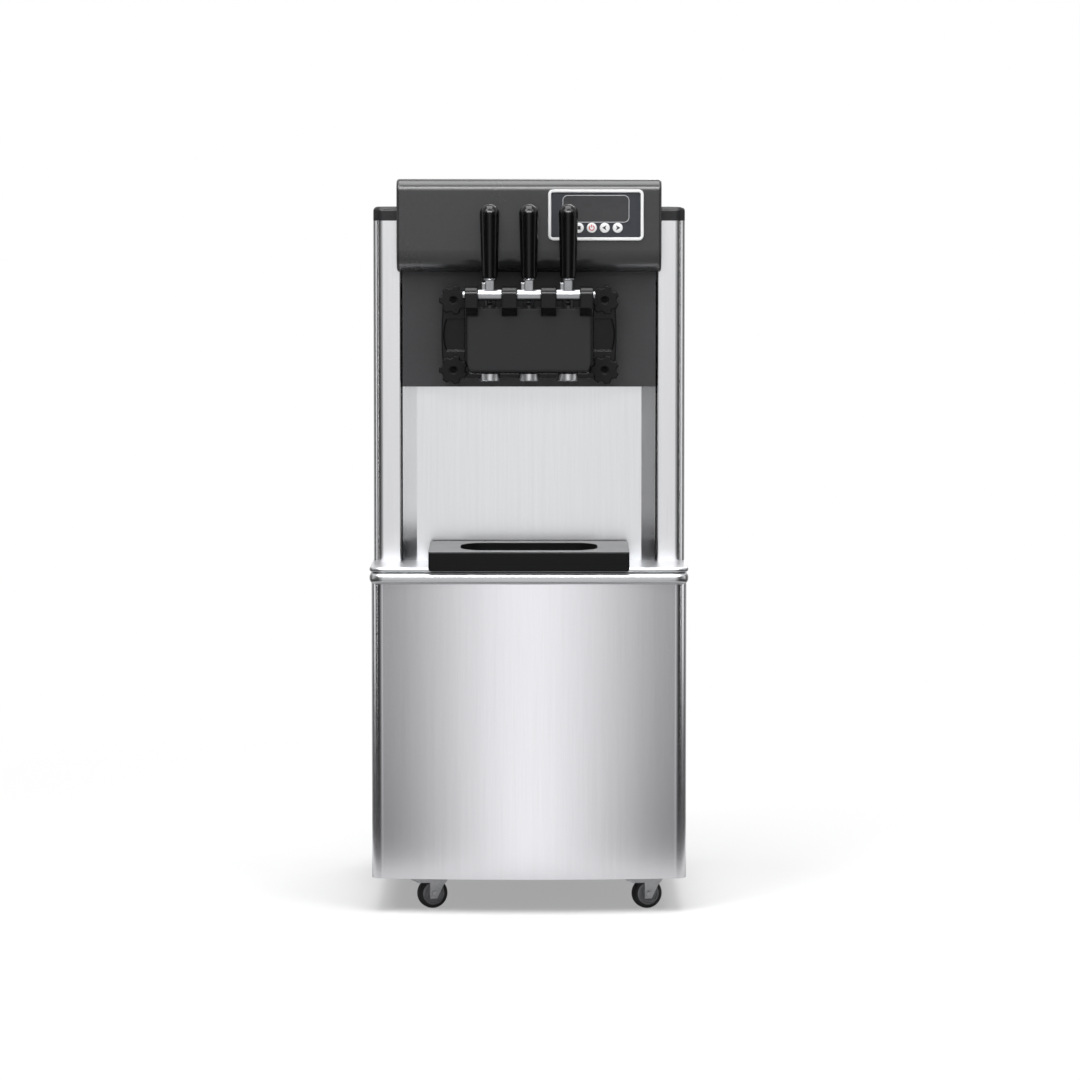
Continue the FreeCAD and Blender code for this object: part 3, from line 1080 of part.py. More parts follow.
CASTERS = {"front_left": (-1, "caster_front"), "front_right": (1, "caster_front"),
           "rear_left": (-1, "caster_back"), "rear_right": (1, "caster_back")}
RACE = f"({PAN_BOTTOM} - caster_plate_wall - race_wall)"
CROWN_TOP = f"({RACE} - race_gap)"
CROWN_LOW = f"({CROWN_TOP} - fork_crown)"


def caster_plates():
    """Four mounting plates, each with its race and riveted kingpin."""
    plates = []
    for side, along in CASTERS.values():
        across = f"(caster_across * {side})"
        half = "caster_plate / 2"
        plate = box(f"{across} - {half}", f"{across} + {half}", f"{along} - {half}", f"{along} + {half}",
                    f"{PAN_BOTTOM} - caster_plate_wall", PAN_BOTTOM)
        race = rod("z", "race_radius", RACE, f"{PAN_BOTTOM} - caster_plate_wall", across, along)
        pin_low = f"({CROWN_LOW} - race_gap)"
        pin = rod("z", "kingpin_radius", pin_low, RACE, across, along)
        head = rod("z", "kingpin_head", f"{pin_low} - kingpin_head_wall", pin_low, across, along)
        plates.append(fuse(plate, race, pin, head))
    group("caster_plates", *plates)


def caster_fork(label, side, along):
    """Bent fork with two tapered legs and the riveted axle."""
    body = new_body(label)
    inner = "(wheel_width / 2 + fork_side)"
    outer = f"({inner} + fork_wall)"
    nose = "(0 - caster_trail * 1.32)"
    tail = "(caster_trail * 2.42)"
    crown = rounded_frame(nose, tail, f"0 - {outer}", outer, "fork_wall * 2")
    pad(body, outline(body, "XY_Plane", crown, CROWN_LOW), "fork_crown")
    leg = [(nose, CROWN_TOP), (nose, "wheel_radius * 2.1"),
           ("0 - caster_trail * 0.57", "wheel_radius * 1.77"),
           ("caster_trail * 0.6", "wheel_radius * 1.75"), ("caster_trail * 0.6", "wheel_radius * 0.68"),
           ("caster_trail * 1.25", "wheel_radius * 0.68"), ("caster_trail * 1.87", "wheel_radius * 1.56"),
           (tail, "wheel_radius * 2.06"), (tail, CROWN_TOP)]
    pad(body, outline(body, "XZ_Plane", leg, inner), "fork_wall")
    pad(body, outline(body, "XZ_Plane", leg, f"0 - {outer}"), "fork_wall")
    pad(body, disc(body, "XZ_Plane", "axle_radius", "caster_trail", "wheel_radius"), f"{outer} * 2",
        middle=True)
    pad(body, disc(body, "XZ_Plane", "axle_nut", "caster_trail", "wheel_radius", outer), "axle_nut_wall")
    pad(body, disc(body, "XZ_Plane", "axle_nut", "caster_trail", "wheel_radius", f"0 - {outer}"),
        "axle_nut_wall", back=True)
    pocket(body, disc(body, "XY_Plane", "kingpin_radius + kingpin_fit", lift=CROWN_TOP), "fork_crown * 2",
           middle=True)
    keep(place(body, f"caster_across * {side}", along, "0", (0, 0, 1), "caster_turn"), label)


def caster_wheel(label, side, along):
    """Dished hub with a tyre, turning on the fork's axle."""
    spot = (f"caster_across * {side} + caster_trail * cos(caster_turn)",
            f"{along} + caster_trail * sin(caster_turn)", "wheel_radius", (0, 0, 1), "caster_turn")
    bore = "axle_radius + axle_fit"
    face = "hub_width / 2"
    dish = f"({face} - hub_dish)"
    hub = new_body("hub")
    half = [(bore, face), ("hub_boss", face), ("hub_boss", dish), ("hub_radius - hub_rim", dish),
            ("hub_radius - hub_rim", face), ("hub_radius", face)]
    mirrored = [(x, f"0 - {y}") for x, y in reversed(half)]
    turn(hub, outline(hub, "XY_Plane", half + mirrored), "Y_Axis")
    tyre = new_body("tyre")
    edge = "wheel_width / 2"
    corners = [("hub_radius", f"0 - {edge}")]
    corners += bend("wheel_radius", f"0 - {edge}", (1, 0), (0, 1), "tyre_round")
    corners += bend("wheel_radius", edge, (0, 1), (-1, 0), "tyre_round") + [("hub_radius", edge)]
    turn(tyre, outline(tyre, "XY_Plane", corners), "Y_Axis")
    group(label, place(hub, *spot), place(tyre, *spot))


def cord_gland():
    """Flanged bush in the apron where the mains cord leaves."""
    spot = ("gland_across", "gland_height")
    sleeve = rod("y", "gland_radius", f"{APRON} - gland_in", APRON, *spot)
    flange = rod("y", "gland_flange", APRON, f"{APRON} + gland_out", *spot)
    bore = rod("y", "gland_bore", f"{APRON} - gland_in - 1", f"{APRON} + gland_out + 1", *spot)
    keep(cut(fuse(sleeve, flange), bore), "cord_gland")


base_pan()
inner_frame()
side_panel("left_side_panel", -1)
side_panel("right_side_panel", 1)
rear_panel()
lower_front_panel()
waist_shelf()
front_columns()
splash_panel()
head_panel()
head_cover()
top_rim()
control_bezel()
display_window()
for index in range(5):
    button(f"push_button_{index + 1}", index)
control_board()
mix_hoppers()
hopper_lid("hopper_lid_left", -1)
hopper_lid("hopper_lid_right", 1)
feed_tubes()
freezing_cylinders()
beater("beater_left", -1)
beater("beater_right", 1)
gear_motors()
compressor()
condenser()
fan_motor()
fan_blade()
dispenser_block()
nozzles()
for name, step in (("left", -1), ("center", 0), ("right", 1)):
    plunger(f"plunger_{name}", step)
    lever_arm(f"lever_arm_{name}", step)
    lever_grip(f"lever_grip_{name}", step)
hinge_pin()
for level, height in (("upper", "knob_high"), ("lower", "knob_low")):
    star_knob(f"star_knob_{level}_left", -1, height)
    star_knob(f"star_knob_{level}_right", 1, height)
drip_tray()
drip_grid()
caster_plates()
for name, (side, along) in CASTERS.items():
    caster_fork(f"caster_fork_{name}", side, along)
    caster_wheel(f"caster_wheel_{name}", side, along)
cord_gland()

doc.recompute()
for item in doc.Objects:
    if "Invalid" in item.State or "Error" in item.State:
        raise RuntimeError(f"{item.Label} did not recompute: {item.State}")
for item in NODES:
    if item.Shape.isNull() or not item.Shape.isValid():
        raise RuntimeError(f"{item.Label} is not a valid shape")
    item.Shape.exportStep(f"parts/{item.Label}.step")
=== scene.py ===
import json
import math

import bmesh
import bpy
import numpy as np
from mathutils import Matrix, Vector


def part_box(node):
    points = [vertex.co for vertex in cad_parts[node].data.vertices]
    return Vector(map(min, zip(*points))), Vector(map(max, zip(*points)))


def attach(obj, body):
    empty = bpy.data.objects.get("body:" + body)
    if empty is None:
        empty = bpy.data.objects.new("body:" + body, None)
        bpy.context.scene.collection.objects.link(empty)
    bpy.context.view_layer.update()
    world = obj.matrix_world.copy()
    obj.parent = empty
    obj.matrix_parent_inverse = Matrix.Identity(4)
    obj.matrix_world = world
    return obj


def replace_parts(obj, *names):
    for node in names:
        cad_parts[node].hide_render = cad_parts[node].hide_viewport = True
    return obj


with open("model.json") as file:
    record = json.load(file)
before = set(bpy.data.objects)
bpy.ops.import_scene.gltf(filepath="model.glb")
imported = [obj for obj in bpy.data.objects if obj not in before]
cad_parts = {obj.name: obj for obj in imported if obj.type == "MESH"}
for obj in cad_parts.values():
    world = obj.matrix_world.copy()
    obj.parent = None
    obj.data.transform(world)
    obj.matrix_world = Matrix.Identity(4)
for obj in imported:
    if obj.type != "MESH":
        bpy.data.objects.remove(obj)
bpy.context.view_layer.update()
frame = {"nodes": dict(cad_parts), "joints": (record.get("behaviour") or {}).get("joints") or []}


# Base pan and inner frame. The pan is folded from zinc-coated sheet and the frame is welded from square
# tube with a grey wash coat. Panels, casters and the cooling parts are all fixed to these two.
def tint(red, green, blue):
    """Screen values from 0 to 255 as the linear colour that a shader takes."""
    part = np.array([red, green, blue]) / 255
    return (*np.where(part <= 0.04045, part / 12.92, ((part + 0.055) / 1.055) ** 2.4), 1.0)


def shader_group(name, inputs, output):
    """An empty shader node group with one value as its output: the tree, its inputs and that socket."""
    made = bpy.data.node_groups.new(name, "ShaderNodeTree")
    for label, value in inputs.items():
        kind = "NodeSocketVector" if isinstance(value, tuple) else "NodeSocketFloat"
        made.interface.new_socket(label, in_out="INPUT", socket_type=kind).default_value = value
    made.interface.new_socket(output, in_out="OUTPUT", socket_type="NodeSocketFloat")
    return made, made.nodes.new("NodeGroupInput").outputs, made.nodes.new("NodeGroupOutput").inputs[output]


def grain_group():
    """Fine noise drawn out along an axis, with a third of a coarser noise of the same direction mixed in."""
    made, given, result = shader_group(
        "sheet_grain", {"Point": (0, 0, 0), "Stretch": (1, 1, 1), "Scale": 300.0}, "Tone")
    drawn = made.nodes.new("ShaderNodeVectorMath")
    drawn.operation = "MULTIPLY"
    made.links.new(given["Point"], drawn.inputs[0])
    made.links.new(given["Stretch"], drawn.inputs[1])
    coarse_scale = made.nodes.new("ShaderNodeMath")
    coarse_scale.operation = "MULTIPLY"
    coarse_scale.inputs[1].default_value = 0.16
    made.links.new(given["Scale"], coarse_scale.inputs[0])
    layers = []
    for scale in (given["Scale"], coarse_scale.outputs[0]):
        noise = made.nodes.new("ShaderNodeTexNoise")
        noise.inputs["Detail"].default_value = 3.0
        noise.inputs["Roughness"].default_value = 0.6
        made.links.new(drawn.outputs[0], noise.inputs["Vector"])
        made.links.new(scale, noise.inputs["Scale"])
        layers.append(noise.outputs["Fac"])
    blend = made.nodes.new("ShaderNodeMix")
    blend.inputs[0].default_value = 0.35
    made.links.new(layers[0], blend.inputs[2])
    made.links.new(layers[1], blend.inputs[3])
    spread = made.nodes.new("ShaderNodeMapRange")
    spread.inputs["From Min"].default_value = 0.3
    spread.inputs["From Max"].default_value = 0.7
    made.links.new(blend.outputs[0], spread.inputs["Value"])
    made.links.new(spread.outputs["Result"], result)
    return made


def wiping_group():
    """Broad soft patches where a cloth or a hand has passed: slow warped noise, eased at both ends."""
    made, given, result = shader_group("wiping_marks", {"Point": (0, 0, 0), "Scale": 3.0}, "Mask")
    noise = made.nodes.new("ShaderNodeTexNoise")
    noise.inputs["Detail"].default_value = 2.5
    noise.inputs["Distortion"].default_value = 0.7
    made.links.new(given["Point"], noise.inputs["Vector"])
    made.links.new(given["Scale"], noise.inputs["Scale"])
    ease = made.nodes.new("ShaderNodeMapRange")
    ease.interpolation_type = "SMOOTHSTEP"
    ease.inputs["From Min"].default_value = 0.35
    ease.inputs["From Max"].default_value = 0.68
    made.links.new(noise.outputs["Fac"], ease.inputs["Value"])
    made.links.new(ease.outputs["Result"], result)
    return made


def box_group():
    """One inside a box of Object coordinates and nought outside it, with a soft border."""
    made, given, result = shader_group("inside_box", {"Point": (0, 0, 0), "Low": (0, 0, 0), "High": (1, 1, 1),
                                                      "Soft": 0.0004}, "Mask")
    sides = []
    for first, second in (("Point", "Low"), ("High", "Point")):
        gap = made.nodes.new("ShaderNodeVectorMath")
        gap.operation = "SUBTRACT"
        made.links.new(given[first], gap.inputs[0])
        made.links.new(given[second], gap.inputs[1])
        sides.append(gap.outputs[0])
    least = made.nodes.new("ShaderNodeVectorMath")
    least.operation = "MINIMUM"
    made.links.new(sides[0], least.inputs[0])
    made.links.new(sides[1], least.inputs[1])
    axes = made.nodes.new("ShaderNodeSeparateXYZ")
    made.links.new(least.outputs[0], axes.inputs[0])
    nearest = axes.outputs[0]
    for other in (axes.outputs[1], axes.outputs[2]):
        lower = made.nodes.new("ShaderNodeMath")
        lower.operation = "MINIMUM"
        made.links.new(nearest, lower.inputs[0])
        made.links.new(other, lower.inputs[1])
        nearest = lower.outputs[0]
    share = made.nodes.new("ShaderNodeMath")
    share.operation = "DIVIDE"
    share.use_clamp = True
    made.links.new(nearest, share.inputs[0])
    made.links.new(given["Soft"], share.inputs[1])
    made.links.new(share.outputs[0], result)
    return made


SHEET_GRAIN = grain_group()
WIPING_MARKS = wiping_group()
INSIDE_BOX = box_group()


def finish(name, dark, light, rough, scale=300.0, stretch=(1, 1, 1), bump=0.0, wiping=3.0, edge=0.0,
           patch=None, sockets=None):
    """A surface whose colour runs from dark to light with its grain, whose roughness runs between two values
    with grain and wiping marks, and whose grain stands up a little. A patch gives one box its own colour and
    roughness; an edge rounds sharp corners in the shading by that radius."""
    made = bpy.data.materials.new(name)
    made.use_nodes = True
    nodes, links = made.node_tree.nodes, made.node_tree.links
    shader = nodes["Principled BSDF"]
    for label, value in (sockets or {}).items():
        shader.inputs[label].default_value = value
    point = nodes.new("ShaderNodeTexCoord").outputs["Object"]

    def placed(tree, **values):
        made_node = nodes.new("ShaderNodeGroup")
        made_node.node_tree = tree
        for label, value in values.items():
            made_node.inputs[label].default_value = value
        links.new(point, made_node.inputs["Point"])
        return made_node.outputs[0]

    def mixed(kind, factor, first, second):
        node = nodes.new("ShaderNodeMix")
        node.data_type = kind
        slots = (6, 7, 2) if kind == "RGBA" else (2, 3, 0)
        links.new(factor, node.inputs[0])
        for slot, value in zip(slots, (first, second)):
            if isinstance(value, bpy.types.NodeSocket):
                links.new(value, node.inputs[slot])
            else:
                node.inputs[slot].default_value = value
        return node.outputs[slots[2]]

    grain = placed(SHEET_GRAIN, Stretch=stretch, Scale=scale)
    marks = placed(WIPING_MARKS, Scale=wiping)
    colour = mixed("RGBA", grain, dark, light)
    uneven = nodes.new("ShaderNodeMix")
    uneven.inputs[0].default_value = 0.4
    links.new(marks, uneven.inputs[2])
    links.new(grain, uneven.inputs[3])
    roughness = mixed("FLOAT", uneven.outputs[0], rough[0], rough[1])
    if patch:
        low, high, patch_colour, patch_rough = patch
        inside = placed(INSIDE_BOX, Low=low, High=high)
        colour = mixed("RGBA", inside, colour, patch_colour)
        roughness = mixed("FLOAT", inside, roughness, patch_rough)
    links.new(colour, shader.inputs["Base Color"])
    links.new(roughness, shader.inputs["Roughness"])
    if bump or edge:
        raised = nodes.new("ShaderNodeBump")
        raised.inputs["Strength"].default_value = bump
        raised.inputs["Distance"].default_value = 0.0004
        links.new(grain, raised.inputs["Height"])
        if edge:
            corner = nodes.new("ShaderNodeBevel")
            corner.samples = 6
            corner.inputs["Radius"].default_value = edge
            links.new(corner.outputs["Normal"], raised.inputs["Normal"])
        links.new(raised.outputs["Normal"], shader.inputs["Normal"])
    return made


def dress(material, *names):
    """Puts a material on CAD nodes by name."""
    for name in names:
        frame["nodes"][name].material_slots[0].material = material


BARE_METAL = {"Metallic": 1.0}
dress(finish("zinc_sheet", tint(148, 150, 153), tint(172, 174, 176), (0.38, 0.55), scale=60, bump=0.03,
             sockets=BARE_METAL), "base_pan")
dress(finish("frame_coat", tint(118, 120, 122), tint(130, 132, 134), (0.5, 0.62), scale=500, bump=0.06),
      "inner_frame")


# Casters. Plates and forks are pressed from zinc-plated steel and riveted; each wheel is a grey moulded hub
# with ring ribs and a black rubber tyre, turning on a riveted axle.
def lattice(rows, columns, round_rows, round_columns):
    """The quads of a grid of points, closed round on itself along the rows or columns where asked."""
    row = np.arange(rows if round_rows else rows - 1)[:, None]
    column = np.arange(columns if round_columns else columns - 1)[None, :]
    below, beside = (row + 1) % rows, (column + 1) % columns
    corners = [row * columns + column, row * columns + beside,
               below * columns + beside, below * columns + column]
    return np.stack([np.broadcast_to(corner, corners[0].shape) for corner in corners], -1).reshape(-1, 4)


MM_PER_M = 1000


def piece(name, points, faces, body, material, sharp=38):
    """A mesh in millimetres put in from arrays, welded, turned outwards and smooth up to a sharp angle."""
    mesh = bpy.data.meshes.new(name)
    places = np.asarray(points).reshape(-1, 3) / MM_PER_M
    mesh.from_pydata(places.tolist(), [], [list(face) for face in faces])
    work = bmesh.new()
    work.from_mesh(mesh)
    bmesh.ops.remove_doubles(work, verts=work.verts, dist=1e-7)
    bmesh.ops.recalc_face_normals(work, faces=work.faces)
    work.to_mesh(mesh)
    work.free()
    mesh.polygons.foreach_set("use_smooth", np.ones(len(mesh.polygons), bool))
    mesh.set_sharp_from_angle(angle=math.radians(sharp))
    mesh.materials.append(material)
    made = bpy.data.objects.new(name, mesh)
    bpy.context.scene.collection.objects.link(made)
    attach(made, body)
    return made


def turned(profile, centre, axis, count=96):
    """A profile of (radius, along) pairs carried round an axis: centre + axis * along + spoke * radius."""
    axis = np.array(axis, float) / np.linalg.norm(axis)
    side = np.cross(axis, (0, 0, 1) if abs(axis[2]) < 0.9 else (1, 0, 0))
    side = side / np.linalg.norm(side)
    angle = np.linspace(0, 2 * np.pi, count, endpoint=False)[:, None]
    spoke = np.cos(angle) * side + np.sin(angle) * np.cross(axis, side)
    radius, along = np.array(profile, float).T
    return np.array(centre) + along[None, :, None] * axis + radius[None, :, None] * spoke[:, None, :]


zinc_plate = finish("zinc_plate", tint(186, 187, 190), tint(204, 205, 207), (0.34, 0.44), scale=160, bump=0.01,
                    edge=0.0008, sockets={"Metallic": 0.55})
dress(zinc_plate, "caster_plates")
tyre_rubber = finish("tyre_rubber", tint(20, 20, 21), tint(30, 30, 32), (0.5, 0.66), scale=700, bump=0.12)
hub_grey = finish("hub_grey", tint(112, 113, 116), tint(126, 127, 130), (0.3, 0.4), scale=500, bump=0.03,
                  edge=0.0005)
tyre_radius, tyre_half_width, tyre_round, mould_line = 26.0, 10.0, 6.0, 0.4
shoulder = np.radians(np.linspace(-90, 0, 10))
tyre_half = np.stack([tyre_radius - tyre_round + tyre_round * np.cos(shoulder),
                      tyre_round - tyre_half_width + tyre_round * np.sin(shoulder)], -1)
bead = np.array([(19.55, -9.3), (19.7, -9.8)])
groove_half = np.array([(tyre_radius, -1.2), (tyre_radius - mould_line, -0.9)])
tyre_profile = np.concatenate([bead, tyre_half, groove_half, groove_half[::-1] * (1, -1),
                               tyre_half[::-1] * (1, -1), bead[::-1] * (1, -1)])
hub_half = np.array([(4.06, 8.8), (4.3, 9.0), (7.6, 9.0), (8.0, 8.7), (8.3, 6.3), (8.6, 6.0), (11.2, 6.0),
                     (11.5, 6.9), (12.7, 6.9), (13.0, 6.0), (15.9, 6.0), (16.3, 6.3), (16.5, 8.7), (16.8, 9.0),
                     (19.1, 9.0), (19.5, 8.7)])
hub_profile = np.concatenate([hub_half, hub_half[::-1] * (1, -1)])
for corner in ("front_left", "front_right", "rear_left", "rear_right"):
    dress(zinc_plate, f"caster_fork_{corner}")
    roll = next(joint for joint in frame["joints"] if joint["name"] == f"caster_{corner}_roll")
    centre = np.array(roll["pos_m"]) * MM_PER_M
    wheel = f"caster_wheel_{corner}"
    for part, profile, material in (("tyre", tyre_profile, tyre_rubber), ("hub", hub_profile, hub_grey)):
        ring = turned(profile, centre, roll["axis"])
        quads = lattice(*ring.shape[:2], True, True)
        made = piece(f"{part}_{corner}", ring, quads, wheel, material)
        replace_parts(made, wheel)


# Cooling parts on the pan. A black painted compressor shell, a finned aluminium condenser behind the left
# louvres, and a pressed fan on a small painted motor.
dress(finish("shell_paint", tint(20, 20, 21), tint(28, 28, 30), (0.28, 0.4), scale=220, bump=0.05),
      "compressor")
dress(finish("fin_stock", tint(168, 170, 172), tint(196, 198, 200), (0.35, 0.5), scale=220, stretch=(1, 8, 1),
             bump=0.05, sockets=BARE_METAL), "condenser", "fan_blade")
dress(finish("motor_paint", tint(112, 115, 120), tint(124, 127, 132), (0.4, 0.52), scale=350, bump=0.05),
      "fan_motor", "gear_motors")


# Freezing side. Barrels, beaters, hoppers and feed tubes are food-grade stainless: drawn, welded and then
# polished to a fine satin that keeps a trace of its rolling lines. The lids are plain sheet, and the ends of
# the studs are dark.
ROLLING_LINES = (1, 0.05, 1)
food_steel = finish("food_steel", tint(186, 187, 189), tint(214, 215, 217), (0.2, 0.34), scale=260,
                    stretch=ROLLING_LINES, bump=0.04, sockets=BARE_METAL)
stud_ends = (-0.2, -0.3, 0.85), (0.2, -0.192, 1.15)
dress(finish("barrel_steel", tint(186, 187, 189), tint(200, 201, 203), (0.2, 0.34), scale=260,
             stretch=ROLLING_LINES, bump=0.03, patch=(*stud_ends, tint(16, 16, 17), 0.6),
             sockets=BARE_METAL), "freezing_cylinders")
dress(food_steel, "beater_left", "beater_right", "feed_tubes", "mix_hoppers")
dress(finish("lid_steel", tint(192, 193, 195), tint(208, 209, 211), (0.3, 0.32), scale=260,
             stretch=ROLLING_LINES, sockets=BARE_METAL), "hopper_lid_left", "hopper_lid_right")


# Outer panels. Side and rear sheets are brushed stainless with pressed louvres and slots, their brush lines
# running upright; they are hooked over the frame and screwed from behind.
UPRIGHT_BRUSH = (1, 1, 0.012)
panel_steel = finish("panel_steel", tint(206, 207, 210), tint(220, 221, 224), (0.28, 0.36), scale=520,
                     stretch=UPRIGHT_BRUSH, bump=0.012, wiping=2.2, sockets=BARE_METAL)
dress(panel_steel, "left_side_panel", "right_side_panel", "rear_panel")


# Lower front panel. One bowed stainless sheet with round upright corners, brushed more finely than the sides
# so that it shades smoothly from its bright middle to dark edges.
dress(finish("door_steel", tint(238, 237, 241), tint(244, 243, 247), (0.19, 0.21), scale=620,
             stretch=UPRIGHT_BRUSH, wiping=1.8, sockets=BARE_METAL), "lower_front_panel")


# Waist shelf. Two stacked bullnose mouldings in satin aluminium right across the cabinet, clamped between the
# lower panel and the columns.
dress(finish("shelf_satin", tint(196, 197, 199), tint(204, 205, 207), (0.28, 0.3), scale=420,
             stretch=(0.02, 1, 1), sockets=BARE_METAL), "waist_shelf")


# Columns and splash panel. Folded stainless strips stand at both sides of a recessed stainless back that the
# cups stand in front of.
dress(finish("column_steel", tint(222, 222, 224), tint(228, 228, 230), (0.2, 0.22), scale=560,
             stretch=UPRIGHT_BRUSH, sockets=BARE_METAL), "front_columns")
dress(finish("splash_steel", tint(222, 223, 225), tint(228, 229, 231), (0.2, 0.22), scale=560,
             stretch=UPRIGHT_BRUSH, wiping=2.4, sockets=BARE_METAL), "splash_panel")


# Head panel and hood. Satin charcoal mouldings with a fine spark-eroded texture: a flat plate behind the
# dispensing head, and a hollow hood with round front edges over it.
dress(finish("hood_charcoal", tint(44, 44, 45), tint(49, 49, 51), (0.25, 0.28), scale=900, bump=0.006,
             wiping=3.5, edge=0.0012), "head_cover")
dress(finish("panel_charcoal", tint(60, 60, 61), tint(66, 66, 68), (0.34, 0.44), scale=900, bump=0.05,
             wiping=3.5, sockets={"Specular IOR Level": 0.15}), "head_panel")


# Top rim. A gloss dark trim moulding that caps the sheets, with a sunken deck around the hopper openings.
dress(finish("rim_black", tint(30, 30, 32), tint(35, 35, 37), (0.3, 0.36), scale=600, bump=0.02, wiping=4,
             edge=0.001, sockets={"Specular IOR Level": 0.3}), "top_rim")


# Control panel. A dark face plate on the hood inside a raised white trim frame, with a thin pale line round
# the display window and five white push buttons, each with a printed sign.
def rounded_loop(half, corner, steps=12):
    """Points and outward directions round a rectangle with round corners."""
    angle = (np.arange(4)[:, None] * np.pi / 2 + np.linspace(0, np.pi / 2, steps)).ravel()
    outward = np.stack([np.cos(angle), np.sin(angle)], -1)
    signs = np.array([(1, 1), (-1, 1), (-1, -1), (1, -1)])
    return np.repeat(signs * (np.array(half) - corner), steps, axis=0) + corner * outward, outward


def framed(name, middle, half, corner, profile, body, material):
    """A profile of (outward, y) pairs carried round a rounded rectangle in the XZ plane."""
    path, outward = rounded_loop(half, corner)
    flat = np.array(middle) + path[:, None, :] + outward[:, None, :] * np.array(profile)[None, :, :1]
    depth = np.broadcast_to(np.array(profile)[None, :, 1], flat.shape[:2])
    points = np.stack([flat[..., 0], depth, flat[..., 1]], -1)
    return piece(name, points, lattice(*points.shape[:2], True, True), body, material)


face_low, face_high = (np.array(corner) * MM_PER_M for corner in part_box("control_bezel"))
face_middle = (face_low + face_high)[[0, 2]] / 2
face_half = (face_high - face_low)[[0, 2]] / 2
front, panel_corner = face_low[1], 9.0
dress(finish("face_plate", tint(54, 56, 62), tint(60, 62, 68), (0.3, 0.4), scale=700, bump=0.02, wiping=6,
             sockets={"Specular IOR Level": 0.15}), "control_bezel")
trim_white = finish("trim_white", tint(232, 232, 233), tint(242, 242, 243), (0.2, 0.3), scale=500, bump=0.02)
framed("bezel_trim", face_middle, face_half, panel_corner,
       [(0.15, front + 4), (0.15, front + 0.8), (-0.05, front + 0.2), (-0.6, front - 0.2), (-1.4, front - 0.35),
        (-4.0, front - 0.35), (-4.8, front - 0.2), (-5.35, front + 0.2), (-5.55, front + 0.8),
        (-5.55, front + 1.6)],
       "cabinet", trim_white)
window_low, window_high = (np.array(corner) * MM_PER_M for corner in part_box("display_window"))
glass = window_low[1]
dress(finish("window_glass", tint(56, 56, 58), tint(62, 62, 64), (0.1, 0.16), scale=60, wiping=9,
             sockets={"Specular IOR Level": 0.35}), "display_window")
line_grey = finish("line_grey", tint(176, 177, 180), tint(190, 191, 194), (0.35, 0.45), scale=500)
window_middle = (window_low + window_high)[[0, 2]] / 2
window_half = (window_high - window_low)[[0, 2]] / 2
framed("window_line", window_middle, window_half, panel_corner,
       [(0.08, glass + 0.8), (0.08, glass - 0.06), (-0.02, glass - 0.12), (-0.9, glass - 0.12),
        (-1.0, glass - 0.06), (-1.0, glass + 0.3)], "cabinet", line_grey)


def arc(radius, first, last, count=28):
    """Points of an arc in the XZ plane between two angles in degrees."""
    angle = np.radians(np.linspace(first, last, count))
    return radius * np.stack([np.cos(angle), np.sin(angle)], -1)


def stamp(name, outlines, middle, front, depth, body, material):
    """Flat signs: each closed outline becomes a face at the front with walls going back by a depth."""
    points, faces = [], []
    for shape in outlines:
        count, start = len(shape), sum(map(len, points))
        near = np.column_stack([shape[:, 0] + middle[0], np.full(count, front), shape[:, 1] + middle[1]])
        points.append(np.concatenate([near, near + (0, depth, 0)]))
        ring = np.arange(count)
        faces.append(start + ring)
        faces.extend(start + np.stack([ring, (ring + 1) % count, (ring + 1) % count + count, ring + count], -1))
    return piece(name, np.concatenate(points), faces, body, material, sharp=30)


button_white = finish("button_white", tint(228, 228, 229), tint(240, 240, 241), (0.2, 0.32), scale=500,
                      bump=0.02)
print_black = finish("print_black", tint(22, 22, 23), tint(30, 30, 31), (0.4, 0.5), scale=900)
print_red = finish("print_red", tint(186, 34, 36), tint(198, 42, 44), (0.4, 0.5), scale=900)
arrow = np.array([(-4.6, 0), (3.0, 4.4), (1.2, 0), (3.0, -4.4)])
turn_arrow = [np.concatenate([arc(4.7, 70, 330), arc(3.1, 330, 70)]),
              np.array([(2.0, -0.6), (6.4, -0.6), (4.2, -4.6)])]
stop_square = [np.array([(-3.2, -3.2), (3.2, -3.2), (3.2, 3.2), (-3.2, 3.2)])]
power_sign = [np.concatenate([arc(5.0, 125, 415), arc(3.4, 415, 125)]),
              np.array([(-0.8, 0.6), (0.8, 0.6), (0.8, 5.6), (-0.8, 5.6)])]
signs = [turn_arrow, stop_square, power_sign, [arrow], [arrow * (-1, 1)]]
cap_profile = [(0, 2.62), (4, 2.56), (7.0, 2.4), (8.0, 2.15), (8.5, 1.75), (8.7, 1.3), (8.7, 0), (0, 0)]
for number, outlines in enumerate(signs, start=1):
    node = f"push_button_{number}"
    low, high = (np.array(corner) * MM_PER_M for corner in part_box(node))
    middle = (low + high) / 2
    cap = turned(cap_profile, (middle[0], high[1], middle[2]), (0, -1, 0), 64)
    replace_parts(piece(f"button_cap_{number}", cap, lattice(*cap.shape[:2], True, False), node,
                      button_white), node)
    stamp(f"button_sign_{number}", outlines, middle[[0, 2]], low[1] - 0.3, 0.35, node,
          print_red if outlines is power_sign else print_black)
dress(finish("board_green", tint(28, 96, 58), tint(36, 112, 68), (0.35, 0.5), scale=140, bump=0.05),
      "control_board")


